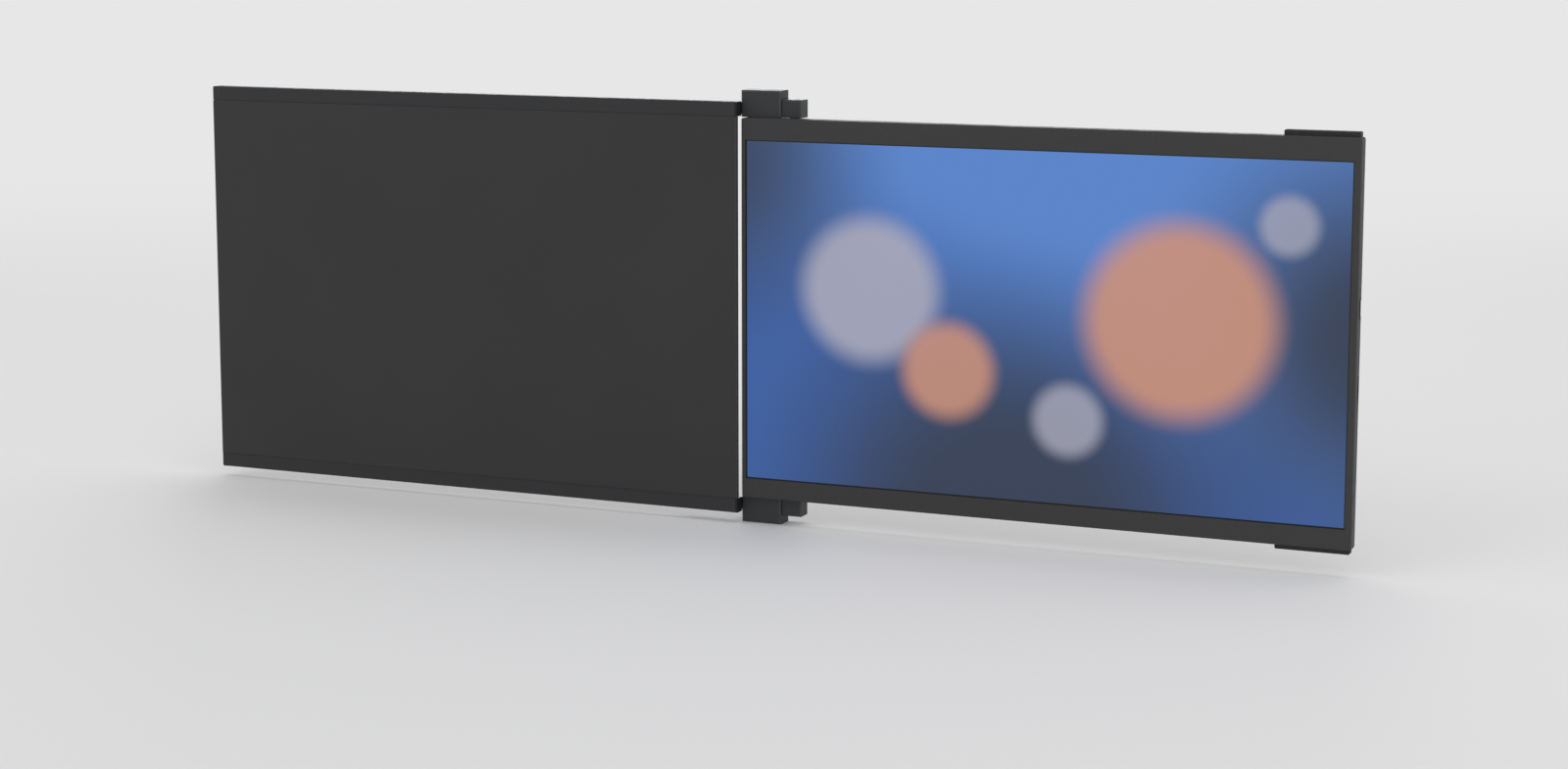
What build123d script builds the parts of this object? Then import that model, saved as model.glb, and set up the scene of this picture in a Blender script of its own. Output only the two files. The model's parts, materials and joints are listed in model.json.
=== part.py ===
from build123d import *
import os

# Laptop screen extender: a sleeve for the back of a laptop's lid, and a monitor that slides out of it
# along two rails and swings on two vertical pins.
# Millimetres. +X runs along the slide, +Y to the back, +Z up. The origin is the centre of the sleeve's
# front face, which lies on the lid. Every "upper" piece is built above Z = 0 and mirrored for "lower".

# ---- Sleeve -------------------------------------------------------------------------------------
PLATE_THICKNESS = 2.4
SLEEVE_SHORTER = 0.3  # than the monitor
POCKET_MARGIN = 0.6  # plate's edges past the monitor's
RAIL_HEIGHT = 7.2  # plate's edge to the rail's outer face
PLATE_SEAM = 0.1  # between the plate's long edges and the rails
RAIL_STEP = 0.4  # how far the rails stand behind the plate's front face
RAIL_DEPTH = 6.0
TENON_REACH = 2.0  # plate's tenons in the rails' slots
TENON_THICKNESS = 1.0
TENON_FRONT = 1.2
BOND_THICKNESS = 0.1
GROOVE_MOUTH = 2.6
GROOVE_WIDTH = 4.4
GROOVE_DEPTH = 2.2
GROOVE_FLOOR = 2.6  # rail wall in front of the groove
END_WALL_THICKNESS = 3.0
CAP_THICKNESS = 1.2
CAP_PEG = 3.0
SLEEVE_CORNER_RADIUS = 0.8
PLATE_EDGE = 0.25
RAIL_EDGE = 0.5
END_SCREW_LENGTH = 9.85
END_SCREW_HEAD_RADIUS = 1.0
END_SCREW_HEAD_SHIFT = 0.2

MAGNET_RADIUS = 7.0
MAGNET_THICKNESS = 1.0
MAGNET_COVER = 0.3
MAGNET_COLUMNS = 3
MAGNET_MARGIN_X = 40.2  # outermost middles, from the plate's edges
MAGNET_MARGIN_Z = 34.0
TAPE_WIDTH = 8.0
TAPE_THICKNESS = 0.2
TAPE_END = 10.0  # tape to the sleeve's ends
TAPE_EDGE = 13.0  # tape to the plate's long edges

# ---- Carriage -----------------------------------------------------------------------------------
SLIDE_GAP = 0.2  # between what slides and the rails' back faces
SHOE_FIT = 0.1  # shoe to groove
SHOE_LENGTH = 12.0
SHOE_FLANGE = 1.4
SHOE_FLANGE_HEIGHT = 5.2
SHOE_SCREW_END = 1.0  # screws stop this far behind the groove's front
SHOE_HOLE_END = 0.8
YOKE_THICKNESS = 1.6
YOKE_BAR_WIDTH = 12.0
YOKE_ARM_HEIGHT = 5.8
YOKE_REACH = 31.0  # bar's far edge to the sleeve's right end
YOKE_SLOTS = 3
YOKE_SLOT_LENGTH = 36.0
YOKE_SLOT_WIDTH = 5.0

BLOCK_WIDTH = 20.7
BLOCK_DEPTH = 10.4
BLOCK_RISE = 5.4  # block's outer face past the rail's
BLOCK_CHAMFER = 0.6
BLOCK_EDGE = 0.5
ARM_IN_BLOCK = 17.4
BLOCK_SCREW_PLACES = (4.2, 11.2)  # from the block's left side
HOUSING_WIDTH = 10.1
HOUSING_SETBACK = 1.5  # housing's front behind the block's front
HOUSING_STEP = 4.3  # housing's outer face under the block's
HOUSING_SEAM = 0.1
HOUSING_CHAMFER = 0.5
HOUSING_ROOF = 1.2
CAVITY_RADIUS = 3.4
TONGUE_LENGTH = 5.9
TONGUE_DEPTH = 3.0
TONGUE_HEIGHT = 3.6
TONGUE_SCREW_INSET = 2.6
BLOCK_GAP = 0.2  # between the monitor's long edges and the blocks

# ---- Monitor ------------------------------------------------------------------------------------
SCREEN_WIDTH = 294.4
SCREEN_HEIGHT = 165.6
BEZEL_LEFT = 2.5  # monitor's edges to the picture
BEZEL_RIGHT = 3.8
BEZEL_TOP = 11.1
BEZEL_BOTTOM = 10.1
MONITOR_THICKNESS = 8.0
MONITOR_GAP = 1.5  # sleeve's right end to the monitor's left edge
POCKET_CLEARANCE = 0.4  # plate to monitor, when it is slid in
MONITOR_CORNER_RADIUS = 1.0
BEZEL_THICKNESS = 1.0
BEZEL_EDGE = 0.4
SEAM_HEIGHT = 0.3
SEAM_DEPTH = 0.35
COVER_RIM = 1.2
COVER_BACK = 1.0
COVER_EDGE = 0.8

SCREEN_MARGIN = 0.6  # black border between picture and bezel
GLASS_SIDE = 1.0
GLASS_TOP = 1.6
GLASS_BOTTOM = 5.0
GLASS_THICKNESS = 1.0
COVER_HOLE_DEPTH = 0.6  # screw holes in the inside of the cover's back
COVER_SCREW_GRIP = 0.5
PANEL_TAPE = 0.1
BACKLIGHT_THICKNESS = 1.5
BACKLIGHT_INSET = 0.2
BACKLIGHT_EDGE = 0.4
FOAM_LENGTH = 20.0
FOAM_HEIGHT = 8.0
FOAM_COLUMNS = (0.2, 0.5, 0.8)  # shares of the way from the leaves to the board
FOAM_ROWS = (-0.3, 0.3)  # shares of the picture's height

# ---- Hinge --------------------------------------------------------------------------------------
PIN_RADIUS = 1.5
PIN_FIT = 0.05  # radial
PIN_HEAD_RADIUS = 2.2
PIN_HEAD_HEIGHT = 1.2
BARREL_RADIUS = 2.6
BARREL_LENGTH = 13.2
BARREL_DROP = 0.2  # barrel's end inside the monitor's edge
LEAF_LENGTH = 36.0
LEAF_OFFSET = 16.0  # leaf's near end to the pin's axis
LEAF_HEIGHT = 13.8
LEAF_THICKNESS = 1.2
LEAF_SEAT = 0.1
LEAF_INSET = 0.4  # leaf to the cover's rim
LEAF_CORNER_RADIUS = 1.5
LEAF_SCREW_NEAR = 5.0  # from the leaf's near end
LEAF_SCREWS_FAR = (9.0, 3.0)  # from its far end
NECK_WIDTH = 5.2
NOTCH_CLEARANCE = 0.6
BEARING_THICKNESS = 1.2
BEARING_HOLE_RADIUS = 0.4
BEARING_HOLE_DEPTH = 0.5
WASHER_CLEARANCE = 0.05
WASHER_RADIUS = 2.5
SPRING_COUNT = 3
SPRING_THICKNESS = 0.4
SPRING_CONE = 0.3
SPRING_RADIUS = 2.9
NUT_FLATS = 4.6
NUT_HEIGHT = 2.0
PIN_END = 0.5  # pin past its nut
PIN_CHAMFER = 0.3

# ---- Stops, keys, socket and electronics ---------------------------------------------------------
BUMPER_LENGTH = 34.4
BUMPER_INSET = 1.2
BUMPER_DEPTH = 4.5
BUMPER_SETBACK = 2.6
BUMPER_HEIGHT = 2.5  # above the monitor's edge
BUMPER_SEAT = 0.4
BUMPER_PEGS = 3
BUMPER_PEG_RADIUS = 0.9
BUMPER_EDGE = 0.4

PORT_HEIGHT = 16.5  # middle of the socket over the monitor's middle
PORT_LENGTH = 8.94
PORT_WIDTH = 3.16
PORT_WALL = 0.3
PORT_DEPTH = 7.35
PORT_FLOOR = 1.1
PORT_FIT = 0.15
PORT_RECESS = 0.4
PORT_RECESS_RIM = 0.9
TONGUE_PLATE = 0.7
TONGUE_PLATE_WIDTH = 6.7
TONGUE_PLATE_REACH = 5.6

KEY_HEIGHT = -19.7  # middle of the pair of keys
KEY_LENGTH = 5.2
KEY_SPLIT = 0.3
KEY_WIDTH = 2.4
KEY_FIT = 0.2
KEY_RECESS = 0.3
KEY_FLANGE = 0.7
KEY_FLANGE_RIM = 0.4
KEY_PLUNGER_RADIUS = 0.6
KEY_TRAVEL = 0.25
KEY_EDGE = 0.15
POWER_INSET = 32.7  # power key's middle, from the monitor's right edge
POWER_HEIGHT = -24.0
POWER_RADIUS = 3.0
POWER_FLANGE_RIM = 0.7
POWER_FLANGE = 0.45
POWER_PROUD = 0.2
POWER_EDGE = 0.3
POWER_SEAT = 0.05  # flange to the cover's inside
POWER_TRAVEL = 0.2
POWER_SWITCH_SIDE = 3.6

BOARD_LENGTH = 37.0
BOARD_TOP = 34.0
BOARD_BOTTOM = -34.0
BOARD_THICKNESS = 0.8
BOARD_MARGIN = 1.8  # board to the cover's rim
BOARD_NOTCH = 0.25
BOARD_CORNER_RADIUS = 1.0
SWITCH_INSET = 0.3
SWITCH_DEPTH = 2.5
SWITCH_LENGTH = 4.2
SWITCH_WIDTH = 2.0
SWITCH_NUB = 0.4
STANDOFF_RADIUS = 1.8
STANDOFF_INSET = 3.2
CHIP_HEIGHT = 1.0
CHIPS = [  # middle from the board's left edge, height of the middle, length and height
    (14.0, 0.0, 12.0, 12.0),
    (14.0, -14.0, 5.0, 6.0),
    (26.0, 4.0, 6.0, 6.0),
    (26.0, -8.0, 4.0, 8.0),
    (3.0, 12.0, 3.0, 18.0),
]
RIBBON_WIDTH = 16.0
RIBBON_HEIGHT = 12.0  # middle
RIBBON_ON_BOARD = 4.0
RIBBON_LENGTH = 22.0
RIBBON_THICKNESS = 0.15
RIBBON_GAP = 0.05

# ---- Screws -------------------------------------------------------------------------------------
PAST = 1.0  # how far cuts run past the faces they open
SCREW_FIT = 0.05
SMALL_RADIUS = 0.75  # M1.6 shank
SMALL_HEAD_RADIUS = 1.4
SMALL_HEAD_HEIGHT = 0.8
MEDIUM_RADIUS = 1.0  # M2 shank
MEDIUM_HEAD_RADIUS = 1.9
MEDIUM_HEAD_HEIGHT = 1.3
HEAD_FIT = 0.15
SOCKET_SHARE = 0.5  # drive recess, as a share of the head's radius
SINK_DEPTH = 0.6
BLOCK_HEAD_DROP = 0.4  # screw heads under the blocks' back faces
SMALL_HOLE = SMALL_RADIUS + SCREW_FIT
MEDIUM_HOLE = MEDIUM_RADIUS + SCREW_FIT
BOSS_RADIUS = 1.9
COVER_SCREW_COLUMNS = 4
COVER_SCREW_END = 9.0
COVER_SCREW_TIP = 1.0  # screws stop this far behind the cover's front
COVER_SCREW_START = 54.0
COVER_SCREW_TOP = 5.0  # from the monitor's edges
COVER_SCREW_BOTTOM = 3.2

# ---- Places worked out from the sizes ------------------------------------------------------------
MONITOR_WIDTH = BEZEL_LEFT + SCREEN_WIDTH + BEZEL_RIGHT
MONITOR_HEIGHT = BEZEL_TOP + SCREEN_HEIGHT + BEZEL_BOTTOM
SLEEVE_WIDTH = MONITOR_WIDTH - SLEEVE_SHORTER
PLATE_HEIGHT = MONITOR_HEIGHT + 2 * POCKET_MARGIN
SLEEVE_HEIGHT = PLATE_HEIGHT + 2 * RAIL_HEIGHT

SLEEVE_END = SLEEVE_WIDTH / 2
RAIL_INNER = PLATE_HEIGHT / 2 + PLATE_SEAM
RAIL_OUTER = SLEEVE_HEIGHT / 2
RAIL_BACK = RAIL_STEP + RAIL_DEPTH
GROOVE_Z = (RAIL_INNER + RAIL_OUTER) / 2
GROOVE_FRONT = RAIL_STEP + GROOVE_FLOOR
GROOVE_BACK = GROOVE_FRONT + GROOVE_DEPTH
RAIL_LEFT = -SLEEVE_END + END_WALL_THICKNESS
RAIL_RIGHT = SLEEVE_END - CAP_THICKNESS
TENON_BACK = TENON_FRONT + TENON_THICKNESS
SLOT_FRONT = TENON_FRONT - BOND_THICKNESS
END_SCREW_Y = RAIL_STEP + GROOVE_FLOOR / 2
END_HEAD_Y = END_SCREW_Y + END_SCREW_HEAD_SHIFT
END_SCREW_RIGHT = -SLEEVE_END + HEAD_FIT + END_SCREW_LENGTH

MONITOR_LEFT = SLEEVE_END + MONITOR_GAP
MONITOR_RIGHT = MONITOR_LEFT + MONITOR_WIDTH
MONITOR_FRONT = PLATE_THICKNESS + POCKET_CLEARANCE
MONITOR_BACK = MONITOR_FRONT + MONITOR_THICKNESS
MONITOR_EDGE = MONITOR_HEIGHT / 2
BEZEL_BACK = MONITOR_FRONT + BEZEL_THICKNESS
COVER_FRONT = BEZEL_BACK + SEAM_HEIGHT
COVER_INNER = MONITOR_BACK - COVER_BACK
RIM_INNER_X = MONITOR_RIGHT - COVER_RIM
RIM_INNER_Z = MONITOR_EDGE - COVER_RIM

SCREEN_X = (MONITOR_LEFT + BEZEL_LEFT, MONITOR_RIGHT - BEZEL_RIGHT)
SCREEN_Z = (-MONITOR_EDGE + BEZEL_BOTTOM, MONITOR_EDGE - BEZEL_TOP)
WINDOW_X = (SCREEN_X[0] - SCREEN_MARGIN, SCREEN_X[1] + SCREEN_MARGIN)
WINDOW_Z = (SCREEN_Z[0] - SCREEN_MARGIN, SCREEN_Z[1] + SCREEN_MARGIN)
GLASS_X = (SCREEN_X[0] - GLASS_SIDE, SCREEN_X[1] + GLASS_SIDE)
GLASS_Z = (SCREEN_Z[0] - GLASS_BOTTOM, SCREEN_Z[1] + GLASS_TOP)
GLASS_FRONT = BEZEL_BACK + PANEL_TAPE
GLASS_BACK = GLASS_FRONT + GLASS_THICKNESS
BACKLIGHT_BACK = GLASS_BACK + BACKLIGHT_THICKNESS

BLOCK_FRONT = RAIL_BACK + SLIDE_GAP
BLOCK_BACK = BLOCK_FRONT + BLOCK_DEPTH
BLOCK_LEFT = SLEEVE_END - SLIDE_GAP
BLOCK_RIGHT = BLOCK_LEFT + BLOCK_WIDTH
BLOCK_BOTTOM = MONITOR_EDGE + BLOCK_GAP
BLOCK_TOP = RAIL_OUTER + BLOCK_RISE
HOUSING_LEFT = BLOCK_RIGHT + HOUSING_SEAM
HOUSING_RIGHT = HOUSING_LEFT + HOUSING_WIDTH
HOUSING_FRONT = BLOCK_FRONT + HOUSING_SETBACK
HOUSING_TOP = BLOCK_TOP - HOUSING_STEP
HINGE_X = (HOUSING_LEFT + HOUSING_RIGHT) / 2
HINGE_Y = (HOUSING_FRONT + BLOCK_BACK) / 2

YOKE_FRONT = BLOCK_FRONT + SHOE_FLANGE
YOKE_BACK = YOKE_FRONT + YOKE_THICKNESS
YOKE_LEFT = SLEEVE_END - YOKE_REACH
YOKE_RIGHT = BLOCK_LEFT + ARM_IN_BLOCK
SHOE_RIGHT = RAIL_RIGHT - CAP_PEG - SLIDE_GAP
SHOE_CENTRES = (YOKE_LEFT + SHOE_LENGTH / 2, SHOE_RIGHT - SHOE_LENGTH / 2)
BLOCK_SCREWS_X = [BLOCK_LEFT + place for place in BLOCK_SCREW_PLACES]
TONGUE_LEFT = HOUSING_LEFT - TONGUE_LENGTH
TONGUE_SCREW_X = BLOCK_RIGHT - TONGUE_SCREW_INSET

BARREL_TOP = MONITOR_EDGE - BARREL_DROP
BARREL_BOTTOM = BARREL_TOP - BARREL_LENGTH
LEAF_BACK = COVER_INNER - LEAF_SEAT
LEAF_FRONT = LEAF_BACK - LEAF_THICKNESS
LEAF_LEFT = HINGE_X - LEAF_OFFSET
LEAF_TOP = RIM_INNER_Z - LEAF_INSET
LEAF_BOTTOM = LEAF_TOP - LEAF_HEIGHT
LEAF_MIDDLE = (LEAF_BOTTOM + LEAF_TOP) / 2
LEAF_SCREWS_X = [LEAF_LEFT + LEAF_SCREW_NEAR] + [LEAF_LEFT + LEAF_LENGTH - place for place in LEAF_SCREWS_FAR]
BEARING_TOP = BLOCK_BOTTOM + BEARING_THICKNESS
STACK_BOTTOM = BEARING_TOP + WASHER_CLEARANCE
STACK_TOP = STACK_BOTTOM + SPRING_COUNT * (SPRING_THICKNESS + SPRING_CONE)
NUT_BOTTOM = STACK_TOP + WASHER_CLEARANCE
NUT_TOP = NUT_BOTTOM + NUT_HEIGHT

BUMPER_RIGHT = MONITOR_RIGHT - BUMPER_INSET
BUMPER_LEFT = BUMPER_RIGHT - BUMPER_LENGTH
BUMPER_FRONT = MONITOR_FRONT + BUMPER_SETBACK
BUMPER_PEG_CENTRES = [BUMPER_LEFT + (i + 0.5) * BUMPER_LENGTH / BUMPER_PEGS for i in range(BUMPER_PEGS)]

PORT_Y = (BACKLIGHT_BACK + COVER_INNER) / 2
BOARD_RIGHT = RIM_INNER_X - BOARD_MARGIN
BOARD_LEFT = BOARD_RIGHT - BOARD_LENGTH
BOARD_FRONT = PORT_Y - BOARD_THICKNESS / 2
BOARD_BACK = PORT_Y + BOARD_THICKNESS / 2
RECESS_FLOOR = MONITOR_RIGHT - PORT_RECESS
PORT_RIGHT = RIM_INNER_X + (RECESS_FLOOR - RIM_INNER_X) / 2
PORT_LEFT = PORT_RIGHT - PORT_DEPTH
KEY_OUTER = MONITOR_RIGHT - KEY_RECESS
KEY_FLANGE_OUTER = RIM_INNER_X - KEY_FIT
KEY_FLANGE_INNER = KEY_FLANGE_OUTER - KEY_FLANGE
SWITCH_RIGHT = BOARD_RIGHT - SWITCH_INSET
NUB_RIGHT = SWITCH_RIGHT + SWITCH_NUB
KEY_CENTRES = {
    "brightness_up_key": KEY_HEIGHT + (KEY_LENGTH + KEY_SPLIT) / 2,
    "brightness_down_key": KEY_HEIGHT - (KEY_LENGTH + KEY_SPLIT) / 2,
}
POWER_X = MONITOR_RIGHT - POWER_INSET
POWER_FLANGE_BACK = COVER_INNER - POWER_SEAT
POWER_FLANGE_FRONT = POWER_FLANGE_BACK - POWER_FLANGE
POWER_SWITCH_BACK = POWER_FLANGE_FRONT - POWER_TRAVEL
STANDOFFS = [
    (x, z)
    for x in (BOARD_LEFT + STANDOFF_INSET, BOARD_RIGHT - STANDOFF_INSET)
    for z in (BOARD_BOTTOM + STANDOFF_INSET, BOARD_TOP - STANDOFF_INSET)
]
COVER_SCREW_PITCH = (MONITOR_WIDTH - COVER_SCREW_START - COVER_SCREW_END) / (COVER_SCREW_COLUMNS - 1)
COVER_SCREWS = [
    (MONITOR_LEFT + COVER_SCREW_START + i * COVER_SCREW_PITCH, z)
    for i in range(COVER_SCREW_COLUMNS)
    for z in (MONITOR_EDGE - COVER_SCREW_TOP, COVER_SCREW_BOTTOM - MONITOR_EDGE)
]
MAGNET_PITCH = (SLEEVE_WIDTH - 2 * MAGNET_MARGIN_X) / (MAGNET_COLUMNS - 1)
MAGNETS = [
    (MAGNET_MARGIN_X - SLEEVE_END + i * MAGNET_PITCH, side * (PLATE_HEIGHT / 2 - MAGNET_MARGIN_Z))
    for i in range(MAGNET_COLUMNS)
    for side in (-1, 1)
]


# ---- Helpers -------------------------------------------------------------------------------------
def brick(x, y, z):
    """Box between three (low, high) spans."""
    spans = (x, y, z)
    size = [high - low for low, high in spans]
    middle = [(high + low) / 2 for low, high in spans]
    return Pos(*middle) * Box(*size)


def about(middle, size):
    """Span of a size round its middle."""
    return middle - size / 2, middle + size / 2


def rod_x(x, y, z, radius):
    """Cylinder along X, from x[0] to x[1], round the line (y, z)."""
    return Pos((x[0] + x[1]) / 2, y, z) * Rot(0, 90, 0) * Cylinder(radius, x[1] - x[0])


def rod_y(x, y, z, radius):
    """Cylinder along Y, from y[0] to y[1], round the line (x, z)."""
    return Pos(x, (y[0] + y[1]) / 2, z) * Rot(90, 0, 0) * Cylinder(radius, y[1] - y[0])


def rod_z(x, y, z, radius):
    """Cylinder along Z, from z[0] to z[1], round the line (x, y)."""
    return Pos(x, y, (z[0] + z[1]) / 2) * Cylinder(radius, z[1] - z[0])


def slot_x(x, y, z, length, width):
    """Bar along X with a rounded section: length along Z, width along Y."""
    radius = width / 2
    reach = length / 2 - radius
    bar = brick(x, (y - radius, y + radius), (z - reach, z + reach))
    return bar + rod_x(x, y, z - reach, radius) + rod_x(x, y, z + reach, radius)


def edges_at(part, axis, where, along=None):
    """Edges whose middle lies at where on the axis, and that run along another axis if one is given."""
    index = {Axis.X: 0, Axis.Y: 1, Axis.Z: 2}[axis]
    found = [e for e in part.edges() if abs(tuple(e.center())[index] - where) < 1e-3]
    if along is None:
        return ShapeList(found)
    return ShapeList(found).filter_by(along)


def screw_y(x, z, head_end, size, shank_end):
    """Pan-head screw along Y with a hexagonal drive. size is (head radius, head height, shank radius)."""
    head_radius, head_height, shank = size
    seat = head_end + head_height * (1 if shank_end > head_end else -1)
    body = rod_y(x, sorted((head_end, seat)), z, head_radius)
    body += rod_y(x, sorted((seat, shank_end)), z, shank)
    return body - Pos(x, head_end, z) * drive(head_radius, head_height / 2)


def drive(head_radius, depth):
    """Hexagonal recess round the Y axis, to a depth either side of its middle."""
    hexagon = RegularPolygon(head_radius * SOCKET_SHARE, 6)
    return Rot(90, 0, 0) * extrude(hexagon, depth, both=True)


SMALL = (SMALL_HEAD_RADIUS, SMALL_HEAD_HEIGHT, SMALL_RADIUS)
MEDIUM = (MEDIUM_HEAD_RADIUS, MEDIUM_HEAD_HEIGHT, MEDIUM_RADIUS)


def group(solids):
    """Several separate solids in one node."""
    return Compound(children=[s if isinstance(s, Solid) else s.solid() for s in solids])


# ---- Sleeve --------------------------------------------------------------------------------------
def front_plate():
    plate = brick((-SLEEVE_END, SLEEVE_END), (0, PLATE_THICKNESS), (-PLATE_HEIGHT / 2, PLATE_HEIGHT / 2))
    plate = chamfer(edges_at(plate, Axis.Y, 0), PLATE_EDGE)
    reach = PLATE_HEIGHT / 2 + TENON_REACH
    plate += brick((RAIL_LEFT, RAIL_RIGHT), (TENON_FRONT, TENON_BACK), (-reach, reach))
    pocket = MAGNET_THICKNESS + MAGNET_COVER + 2 * SCREW_FIT
    for x, z in MAGNETS:
        plate -= rod_y(x, (PLATE_THICKNESS - pocket, PLATE_THICKNESS + PAST), z, MAGNET_RADIUS + SCREW_FIT)
    return plate


def upper_rail():
    """Extrusion with a T-groove in its back and a slot for the plate's tenon in its inner side."""
    length = (RAIL_LEFT, RAIL_RIGHT)
    rail = brick(length, (RAIL_STEP, RAIL_BACK), (RAIL_INNER, RAIL_OUTER))
    rail = fillet(edges_at(rail, Axis.Z, RAIL_OUTER, Axis.X), RAIL_EDGE)
    slot = (SLOT_FRONT, TENON_BACK + SCREW_FIT)
    rail -= brick(length, slot, (RAIL_INNER - PAST, RAIL_INNER + TENON_REACH))
    rail -= brick(length, (GROOVE_FRONT, GROOVE_BACK), about(GROOVE_Z, GROOVE_WIDTH))
    rail -= brick(length, (GROOVE_BACK, RAIL_BACK + PAST), about(GROOVE_Z, GROOVE_MOUTH))
    return rail - rod_x((RAIL_LEFT - PAST, END_SCREW_RIGHT + PAST), END_SCREW_Y, GROOVE_Z, SMALL_HOLE)


def end_wall():
    """Bar across the rails' left ends, behind the plate."""
    ends = (-SLEEVE_END, RAIL_LEFT)
    wall = brick(ends, (RAIL_STEP, RAIL_BACK), (-RAIL_OUTER, RAIL_OUTER))
    wall = fillet(wall.edges().filter_by(Axis.Y).group_by(Axis.X)[0], SLEEVE_CORNER_RADIUS)
    seat = PLATE_HEIGHT / 2 + PLATE_SEAM
    wall -= brick((-SLEEVE_END - PAST, RAIL_LEFT + PAST), (0, PLATE_THICKNESS + SCREW_FIT), (-seat, seat))
    for side in (-1, 1):
        hole = rod_x((-SLEEVE_END - PAST, RAIL_LEFT + PAST), END_SCREW_Y, side * GROOVE_Z, SMALL_HOLE)
        head = (-SLEEVE_END - PAST, -SLEEVE_END + SMALL_HEAD_HEIGHT + HEAD_FIT)
        sink = rod_x(head, END_HEAD_Y, side * GROOVE_Z, END_SCREW_HEAD_RADIUS + HEAD_FIT)
        wall -= hole + sink
    return wall


def end_screws():
    screws = []
    for side in (-1, 1):
        x = -SLEEVE_END + HEAD_FIT
        shank = rod_x((x, END_SCREW_RIGHT), END_SCREW_Y, side * GROOVE_Z, SMALL_RADIUS)
        head = rod_x((x, x + SMALL_HEAD_HEIGHT), END_HEAD_Y, side * GROOVE_Z, END_SCREW_HEAD_RADIUS)
        screws.append(shank + head)
    return group(screws)


def upper_rail_cap():
    """Plug that closes the rail's right end, with a peg in the groove."""
    cap = brick((RAIL_RIGHT, SLEEVE_END), (RAIL_STEP, RAIL_BACK), (RAIL_INNER, RAIL_OUTER))
    cap = fillet(edges_at(cap, Axis.Z, RAIL_OUTER, Axis.X), RAIL_EDGE)
    peg = brick(
        (RAIL_RIGHT - CAP_PEG, RAIL_RIGHT),
        (GROOVE_FRONT + SHOE_FIT, GROOVE_BACK - SHOE_FIT),
        about(GROOVE_Z, GROOVE_WIDTH - 2 * SHOE_FIT),
    )
    return cap + peg


def bond_strips():
    """Adhesive in front of the plate's tenons, in the rails' slots."""
    strips = []
    for side in (-1, 1):
        z = sorted((side * RAIL_INNER, side * (PLATE_HEIGHT / 2 + TENON_REACH)))
        strips.append(brick((RAIL_LEFT, RAIL_RIGHT), (SLOT_FRONT, TENON_FRONT), z))
    return group(strips)


def glide_tapes():
    tapes = []
    edge = PLATE_HEIGHT / 2 - TAPE_EDGE
    for side in (-1, 1):
        z = sorted((side * edge, side * (edge - TAPE_WIDTH)))
        y = (PLATE_THICKNESS, PLATE_THICKNESS + TAPE_THICKNESS)
        tapes.append(brick((-SLEEVE_END + TAPE_END, SLEEVE_END - TAPE_END), y, z))
    return group(tapes)


def magnet_discs(front, back):
    return group(rod_y(x, (front, back), z, MAGNET_RADIUS) for x, z in MAGNETS)


# ---- Carriage ------------------------------------------------------------------------------------
def slide_yoke():
    """Steel sheet: an upright bar behind the rails, with an arm at each end that enters a hinge block."""
    y = (YOKE_FRONT, YOKE_BACK)
    through = (YOKE_FRONT - PAST, YOKE_BACK + PAST)
    arm_low, arm_high = GROOVE_Z - YOKE_ARM_HEIGHT / 2, GROOVE_Z + YOKE_ARM_HEIGHT / 2
    yoke = brick((YOKE_LEFT, YOKE_LEFT + YOKE_BAR_WIDTH), y, (-arm_high, arm_high))
    for side in (-1, 1):
        yoke += brick((YOKE_LEFT, YOKE_RIGHT), y, sorted((side * arm_low, side * arm_high)))
        for x in SHOE_CENTRES:
            yoke -= rod_y(x, through, side * GROOVE_Z, SMALL_HOLE)
        for x in BLOCK_SCREWS_X:
            yoke -= rod_y(x, through, side * GROOVE_Z, MEDIUM_HOLE)
    middle = YOKE_LEFT + YOKE_BAR_WIDTH / 2
    pitch = 2 * arm_low / YOKE_SLOTS
    for i in range(YOKE_SLOTS):
        z = (i - (YOKE_SLOTS - 1) / 2) * pitch
        yoke -= brick(about(middle, YOKE_SLOT_WIDTH), through, about(z, YOKE_SLOT_LENGTH))
        for end in about(z, YOKE_SLOT_LENGTH):
            yoke -= rod_y(middle, through, end, YOKE_SLOT_WIDTH / 2)
    return yoke


def upper_glide_shoes():
    """T-shaped shoes: flange under the yoke, stem in the groove's mouth, head in the groove."""
    head = (GROOVE_FRONT + SHOE_FIT, GROOVE_BACK - SHOE_FIT)
    shoes = []
    for x in SHOE_CENTRES:
        length = about(x, SHOE_LENGTH)
        shoe = brick(length, head, about(GROOVE_Z, GROOVE_WIDTH - 2 * SHOE_FIT))
        shoe += brick(length, (head[0], YOKE_FRONT), about(GROOVE_Z, GROOVE_MOUTH - 2 * SHOE_FIT))
        shoe += brick(length, (BLOCK_FRONT, YOKE_FRONT), about(GROOVE_Z, SHOE_FLANGE_HEIGHT))
        shoe -= rod_y(x, (GROOVE_FRONT + SHOE_HOLE_END, YOKE_FRONT + PAST), GROOVE_Z, SMALL_HOLE)
        shoes.append(shoe)
    return group(shoes)


def shoe_screws():
    back = YOKE_BACK + SMALL_HEAD_HEIGHT
    places = [(x, side * GROOVE_Z) for x in SHOE_CENTRES for side in (-1, 1)]
    return group(screw_y(x, z, back, SMALL, GROOVE_FRONT + SHOE_SCREW_END) for x, z in places)


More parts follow.
